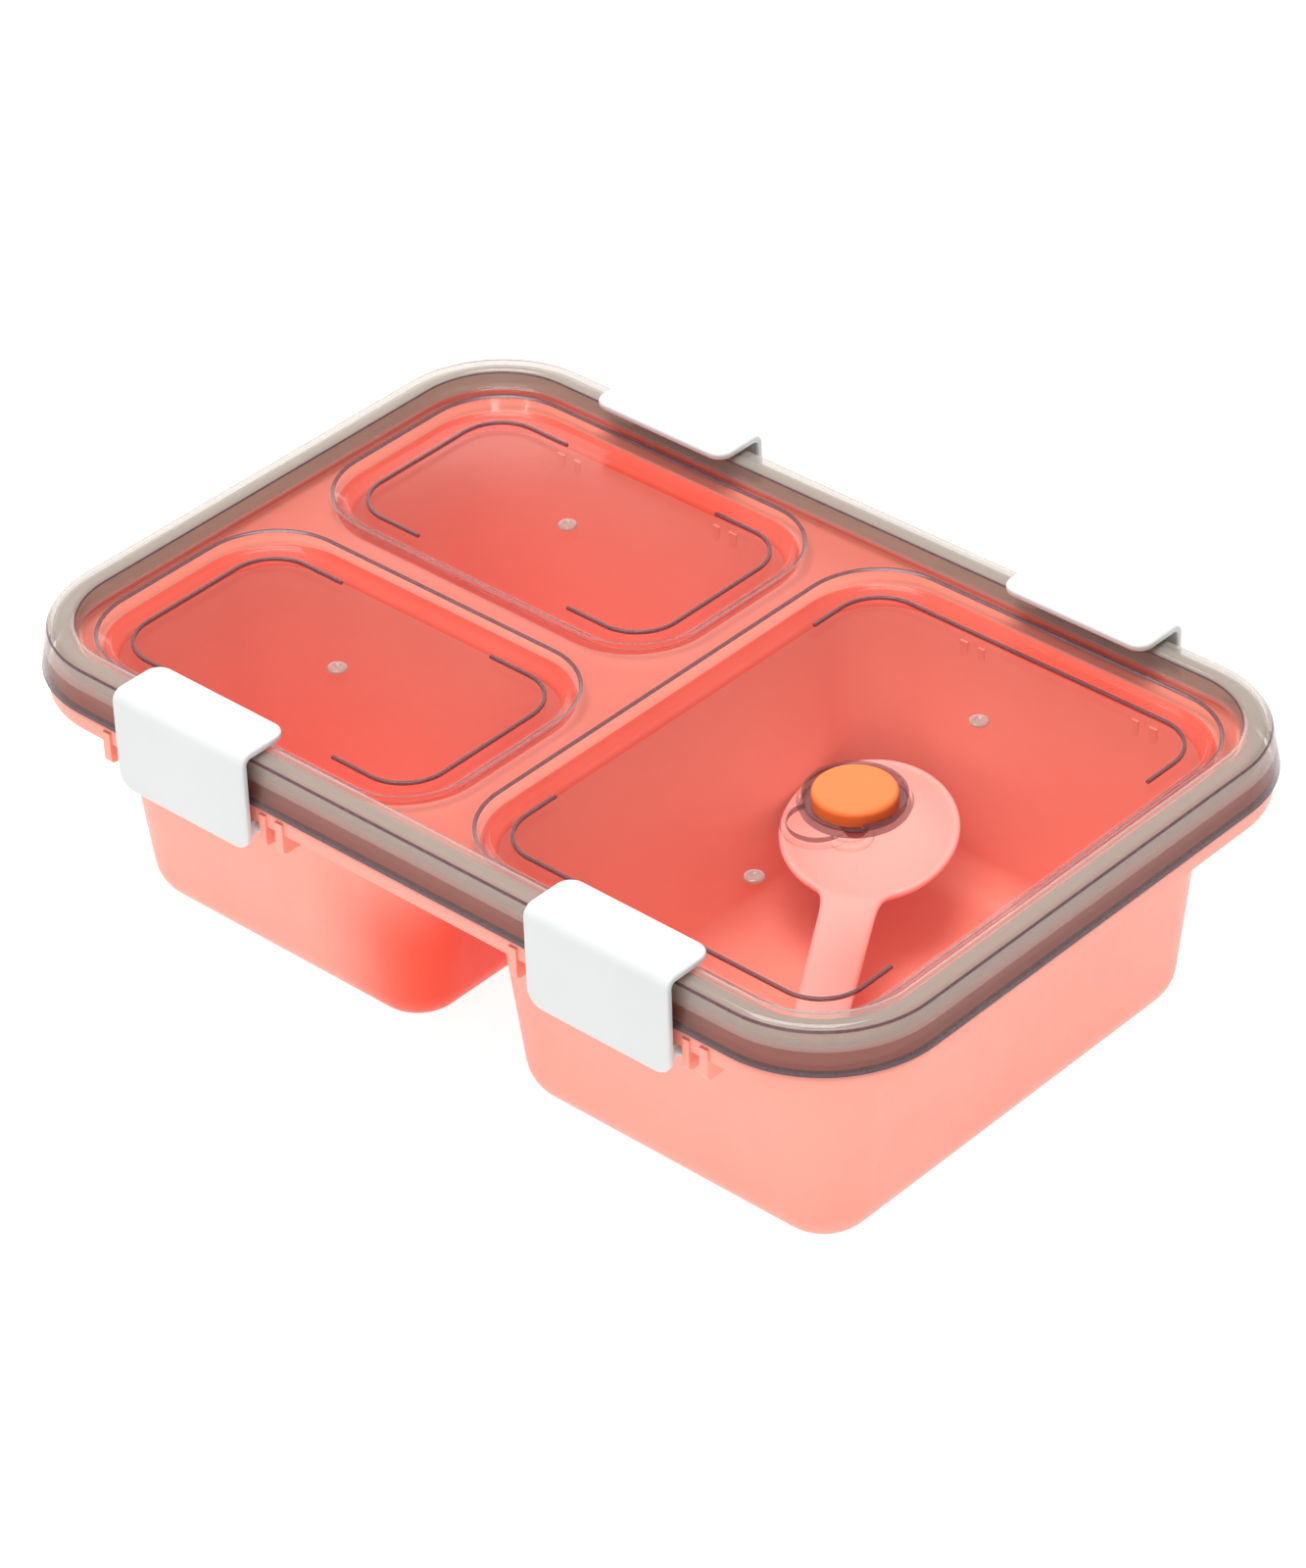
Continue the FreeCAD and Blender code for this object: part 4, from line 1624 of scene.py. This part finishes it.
@dataclass
class Clips:
    """The four white clips: each has face, bend and lip as one plate, with ears and trunnions."""

    pattern_node: str = "clip_rear_left"
    length: float = 37.5 * MM
    wall: float = 1.6 * MM
    edge: float = 0.55 * MM
    bend: float = 2.6 * MM
    bend_steps: int = 6
    lip_corner: float = 3.6 * MM
    face_corner: float = 4.0 * MM
    corner_segments: int = 8
    hinge_y: float = 73.6 * MM
    hinge_z: float = 52.0 * MM
    ear_span: tuple[float, float] = (13.5 * MM, 16.5 * MM)
    ear_radius: float = 1.9 * MM
    ear_steps: tuple[float, ...] = (0.29, 0.5, 0.21)
    ear_taper: float = 0.9
    ear_root: float = 0.3 * MM
    ear_edge: float = 0.3 * MM
    trunnion_radius: float = 1.2 * MM
    trunnion_span: tuple[float, float] = (14.0 * MM, 21.1 * MM)

    def plate(self, low: Vector, high: Vector) -> bpy.types.Object:
        """Makes the clip's plate, as if it stood at the rear with its middle on the Y axis.

        Args:
            low: Lowest corner of a rear clip's box: its foot and its lip's edge.
            high: Highest corner of the box: its outer face and its lip's top.

        Returns:
            The plate with its thickness and soft edges.
        """
        bend_z = high.z - self.bend
        place = Vector((0.0, high.y, (low.z + bend_z) / 2))
        plate = Bench.start(
            lambda: bpy.ops.mesh.primitive_plane_add(
                size=1.0, location=place, rotation=(-math.pi / 2, 0.0, 0.0),
            ),
            "clip_plate",
        )
        Bench.edit(plate)
        bpy.ops.transform.resize(value=(self.length, 1.0, bend_z - low.z), center_override=place)
        Bench.done()
        Bench.edit(plate, lambda point: point.z > bend_z - NEAR, mode="EDGE")
        step = math.pi / 2 / self.bend_steps
        for index in range(self.bend_steps):
            old = Vector((0.0, math.cos(step * index), math.sin(step * index)))
            new = Vector((0.0, math.cos(step * (index + 1)), math.sin(step * (index + 1))))
            move = (new - old) * self.bend
            bpy.ops.mesh.extrude_region_move(TRANSFORM_OT_translate={"value": tuple(move)})
        reach = high.y - self.bend - low.y
        bpy.ops.mesh.extrude_region_move(TRANSFORM_OT_translate={"value": (0.0, -reach, 0.0)})
        Bench.done()
        self.round_corners(plate, lambda point: point.y < low.y + NEAR, self.lip_corner)
        self.round_corners(plate, lambda point: point.z < low.z + NEAR, self.face_corner)
        self.face_outward(plate)
        Bench.thicken(plate, self.wall)
        Bench.soften(plate, self.edge, segments=4, angle=60.0)
        return plate

    def round_corners(self, plate: bpy.types.Object, test: Test, radius: float) -> None:
        """Rounds the two plan corners that pass a test.

        Args:
            plate: Plate that is changed.
            test: Picks the two corners.
            radius: Radius of the rounding.
        """
        Bench.edit(plate, test)
        bpy.ops.mesh.bevel(offset=radius, segments=self.corner_segments, affect="VERTICES")
        Bench.done()

    @staticmethod
    def face_outward(plate: bpy.types.Object) -> None:
        """Turns the plate's faces to the rear, away from the box.

        Args:
            plate: Plate that is changed.
        """
        Bench.edit(plate)
        bpy.ops.mesh.normals_make_consistent(inside=False)
        Bench.done()
        if sum(face.normal.y * face.area for face in plate.data.polygons) < 0:
            Bench.edit(plate)
            bpy.ops.mesh.flip_normals()
            Bench.done()

    def ear(self, inner_y: float) -> bpy.types.Object:
        """Makes the right ear, from the plate's inner face to its round end on the hinge line.

        Args:
            inner_y: Place of the plate's inner face.

        Returns:
            The closed ear.
        """
        ear = Bench.block(
            "clip_ear",
            Vector((self.ear_span[0], self.hinge_y, self.hinge_z - self.ear_radius)),
            Vector((self.ear_span[1], inner_y + self.ear_root, self.hinge_z + self.ear_radius)),
        )
        Bench.edit(ear, lambda point: point.y < self.hinge_y + NEAR, mode="FACE")
        centre = (0.0, 0.0, self.hinge_z)
        for share in self.ear_steps:
            move = (0.0, -self.ear_radius * share, 0.0)
            bpy.ops.mesh.extrude_region_move(TRANSFORM_OT_translate={"value": move})
            bpy.ops.transform.resize(value=(1.0, 1.0, 1.0 - share * self.ear_taper), center_override=centre)
        Bench.done()
        Bench.soften(ear, self.ear_edge, segments=3, angle=25.0)
        return ear

    def trunnion(self) -> bpy.types.Object:
        """Makes the right trunnion, on the hinge line."""
        ends = [Vector((x, self.hinge_y, self.hinge_z)) for x in self.trunnion_span]
        return Bench.rod("trunnion", self.trunnion_radius, *ends)

    def pattern(self) -> bpy.types.Object:
        """Makes the clip that the others are copied from, at the rear with its middle on the Y axis.

        Returns:
            The joined clip, not yet dressed.
        """
        low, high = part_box(self.pattern_node)
        parts = [self.plate(low, high)]
        ear, trunnion = self.ear(high.y - self.wall), self.trunnion()
        for part, (near, far) in ((ear, self.ear_span), (trunnion, self.trunnion_span)):
            parts += [part, Bench.copy(part, Matrix.Translation((-near - far, 0.0, 0.0)))]
        return Bench.join(parts)

    def build(self, material: bpy.types.Material) -> None:
        """Builds one clip, dresses it and copies it to its four places.

        Args:
            material: Finish of the clips.
        """
        pattern = self.pattern()
        dress(pattern, material)
        for node in CLIP_NODES:
            clip = Bench.copy(pattern, clip_home(node))
            clip.name = node + "_piece"
            hand_over(clip, node, node)
        Bench.discard(pattern)


@dataclass
class Spoon:
    """The short spoon, modelled flat and then laid aslant in the large well."""

    bowl_length: float = 40.0 * MM
    bowl_width: float = 37.0 * MM
    bowl_steps: tuple[tuple[float, float], ...] = (
        (1.6 * MM, 1.1 * MM), (2.2 * MM, 1.5 * MM), (3.0 * MM, 1.4 * MM),
        (3.6 * MM, 0.9 * MM), (3.8 * MM, 0.3 * MM),
    )
    root_share: float = 0.9
    length: float = 117.0 * MM
    neck: float = 12.0 * MM
    handle_width: float = 12.5 * MM
    neck_stations: tuple[tuple[float, float], ...] = ((1.5 * MM, 1.04), (5.0 * MM, 1.0), (14.0 * MM, 1.0))
    handle_station: tuple[float, float] = (34.0 * MM, 0.92)
    end_stations: tuple[tuple[float, float], ...] = ((5.0 * MM, 1.0), (1.2 * MM, 0.72), (0.0, 0.4))
    wall: float = 1.8 * MM
    place: Vector = field(default_factory=lambda: Vector((29.7 * MM, 33.7 * MM, 24.4 * MM)))
    tilt: float = 10.6
    turn: float = -60.7

    def build_bowl(self) -> bpy.types.Object:
        """Makes the bowl as a dished oval.

        Returns:
            The bowl as an open sheet.
        """
        bowl = Bench.disc("spoon_piece", self.bowl_length / 2, Vector((0.0, 0.0, 0.0)), count=32)
        Bench.edit(bowl, mode="FACE")
        share = self.bowl_width / self.bowl_length
        bpy.ops.transform.resize(value=(1.0, share, 1.0), center_override=(0.0, 0.0, 0.0))
        for inward, fall in self.bowl_steps:
            bpy.ops.mesh.inset(thickness=inward, depth=-fall, use_even_offset=True)
        Bench.done()
        return bowl

    def stations(self) -> list[tuple[float, float]]:
        """Places along the handle, from the bowl's middle, each with the handle's width there.

        Returns:
            Place and width of each station, from the neck to the end.
        """
        rim_x = self.bowl_length / 2
        end_x = self.length - rim_x
        places = [(rim_x + at, self.neck * share) for at, share in self.neck_stations]
        at, share = self.handle_station
        places.append((rim_x + at, self.handle_width * share))
        return places + [(end_x - at, self.handle_width * share) for at, share in self.end_stations]

    def draw_handle(self, bowl: bpy.types.Object) -> None:
        """Draws the handle out of the bowl's rim.

        Args:
            bowl: Bowl that the handle is drawn from.
        """
        root_x = self.bowl_length / 2 * self.root_share
        Bench.edit(bowl, lambda point: point.x > root_x and abs(point.z) < NEAR, mode="EDGE")
        for end_x, width in self.stations():
            bpy.ops.mesh.extrude_region_move(TRANSFORM_OT_translate={"value": (1.0 * MM, 0.0, 0.0)})
            bpy.ops.object.mode_set(mode="OBJECT")
            chosen = [vertex.co.copy() for vertex in bowl.data.vertices if vertex.select]
            bpy.ops.object.mode_set(mode="EDIT")
            middle = sum((point.x for point in chosen), 0.0) / len(chosen)
            span = max(point.y for point in chosen) - min(point.y for point in chosen)
            bpy.ops.transform.resize(value=(0.0, width / span, 1.0), center_override=(middle, 0.0, 0.0))
            bpy.ops.transform.translate(value=(end_x - middle, 0.0, 0.0))
        Bench.done()

    def build(self, material: bpy.types.Material) -> None:
        """Builds the spoon, lays it in place and dresses it.

        Args:
            material: Finish of the spoon.
        """
        spoon = self.build_bowl()
        self.draw_handle(spoon)
        Bench.face_up(spoon, 0.0)
        Bench.thicken(spoon, self.wall)
        Bench.apply(spoon, "SUBSURF", levels=2, render_levels=2)
        turn = Matrix.Rotation(math.radians(self.turn), 4, "Z")
        tilt = Matrix.Rotation(math.radians(self.tilt), 4, "Y")
        spoon.data.transform(Matrix.Translation(self.place) @ turn @ tilt)
        spoon.name = "spoon_piece"
        dress(spoon, material)
        hand_over(spoon, "tray", "spoon")


@dataclass(frozen=True)
class Lamp:
    """One soft rectangular studio lamp."""

    name: str
    place: tuple[float, float, float]
    size: tuple[float, float]
    power: float

    def hang(self, target: Vector) -> None:
        """Adds the lamp, looking at a point.

        Args:
            target: Point that the lamp looks at.
        """
        data = bpy.data.lights.new(self.name, "AREA")
        data.shape = "RECTANGLE"
        data.size, data.size_y = self.size
        data.energy = self.power
        place = Vector(self.place)
        lamp = bpy.data.objects.new(self.name, data)
        lamp.location = place
        lamp.rotation_euler = (target - place).to_track_quat("-Z", "Y").to_euler()
        bpy.context.scene.collection.objects.link(lamp)


@dataclass
class Studio:
    """Floor, lights, world and camera."""

    azimuth: float = 43.16
    elevation: float = 34.33
    distance: float = 1.2278
    roll: float = -2.0
    lens: float = 138.4
    aim: Vector = field(default_factory=lambda: Vector((28.57 * MM, -30.56 * MM, 70.0 * MM)))
    rim_centre: Vector = field(default_factory=lambda: Vector((0.0, 0.0, 70.0 * MM)))
    box_centre: Vector = field(default_factory=lambda: Vector((0.0, 0.0, 30.0 * MM)))
    surround: float = 0.6
    floor: Outline = Outline(-4.0, 4.0, -4.0, 4.0, 1.0)
    lamps: tuple[Lamp, ...] = (
        Lamp("overhead", (-0.2, -0.1, 1.6), (1.0, 1.0), 25.5),
        Lamp("front_fill", (0.7, -1.5, 0.9), (1.4, 1.0), 4.5),
        Lamp("rear_wall", (-1.3, 1.4, 0.7), (2.4, 0.9), 15.0),
    )

    def place_camera(self) -> None:
        """Makes the camera, aimed and rolled."""
        azimuth, elevation = math.radians(self.azimuth), math.radians(self.elevation)
        flat = math.cos(elevation)
        back = Vector((math.sin(azimuth) * flat, -math.cos(azimuth) * flat, math.sin(elevation)))
        data = bpy.data.cameras.new("camera")
        data.lens = self.lens
        data.clip_end = 20.0
        camera = bpy.data.objects.new("camera", data)
        camera.location = self.rim_centre + back * self.distance
        look = (self.aim - camera.location).to_track_quat("-Z", "Y").to_matrix().to_4x4()
        spin = Matrix.Rotation(math.radians(self.roll), 4, "Z")
        camera.rotation_mode = "QUATERNION"
        camera.rotation_quaternion = (look @ spin).to_quaternion()
        bpy.context.scene.collection.objects.link(camera)
        bpy.context.scene.camera = camera

    def place_lights(self) -> None:
        """Adds the studio lamps and an even pale surround."""
        for lamp in self.lamps:
            lamp.hang(self.box_centre)
        world = bpy.data.worlds.new("surround")
        world.use_nodes = True
        background = world.node_tree.nodes["Background"]
        background.inputs["Color"].default_value = WHITE
        background.inputs["Strength"].default_value = self.surround
        bpy.context.scene.world = world

    def lay_floor(self) -> None:
        """Lays the plain white floor."""
        floor = Bench.plate("floor", self.floor, 0.0)
        dress(floor, LIGHT_TABLE.build())

    def build(self) -> None:
        """Builds the whole studio."""
        self.lay_floor()
        self.place_lights()
        self.place_camera()
        bpy.context.scene.view_settings.view_transform = "Standard"


def main() -> None:
    """Builds every piece in order, then the studio."""
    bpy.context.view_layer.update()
    Tray().build(TRAY_PLASTIC.build(), WELL_LIP_PAINTED_SHADE.build())
    Lid().build({zone: finish.build() for zone, finish in LID_FINISHES.items()})
    SealRing().build(SEAL_SILICONE.build())
    VentPlug().build(VENT_SILICONE.build())
    Clips().build(CLIP_PLASTIC.build())
    Spoon().build(SPOON_PLASTIC.build())
    Studio().build()


if __name__ == "__main__":
    main()
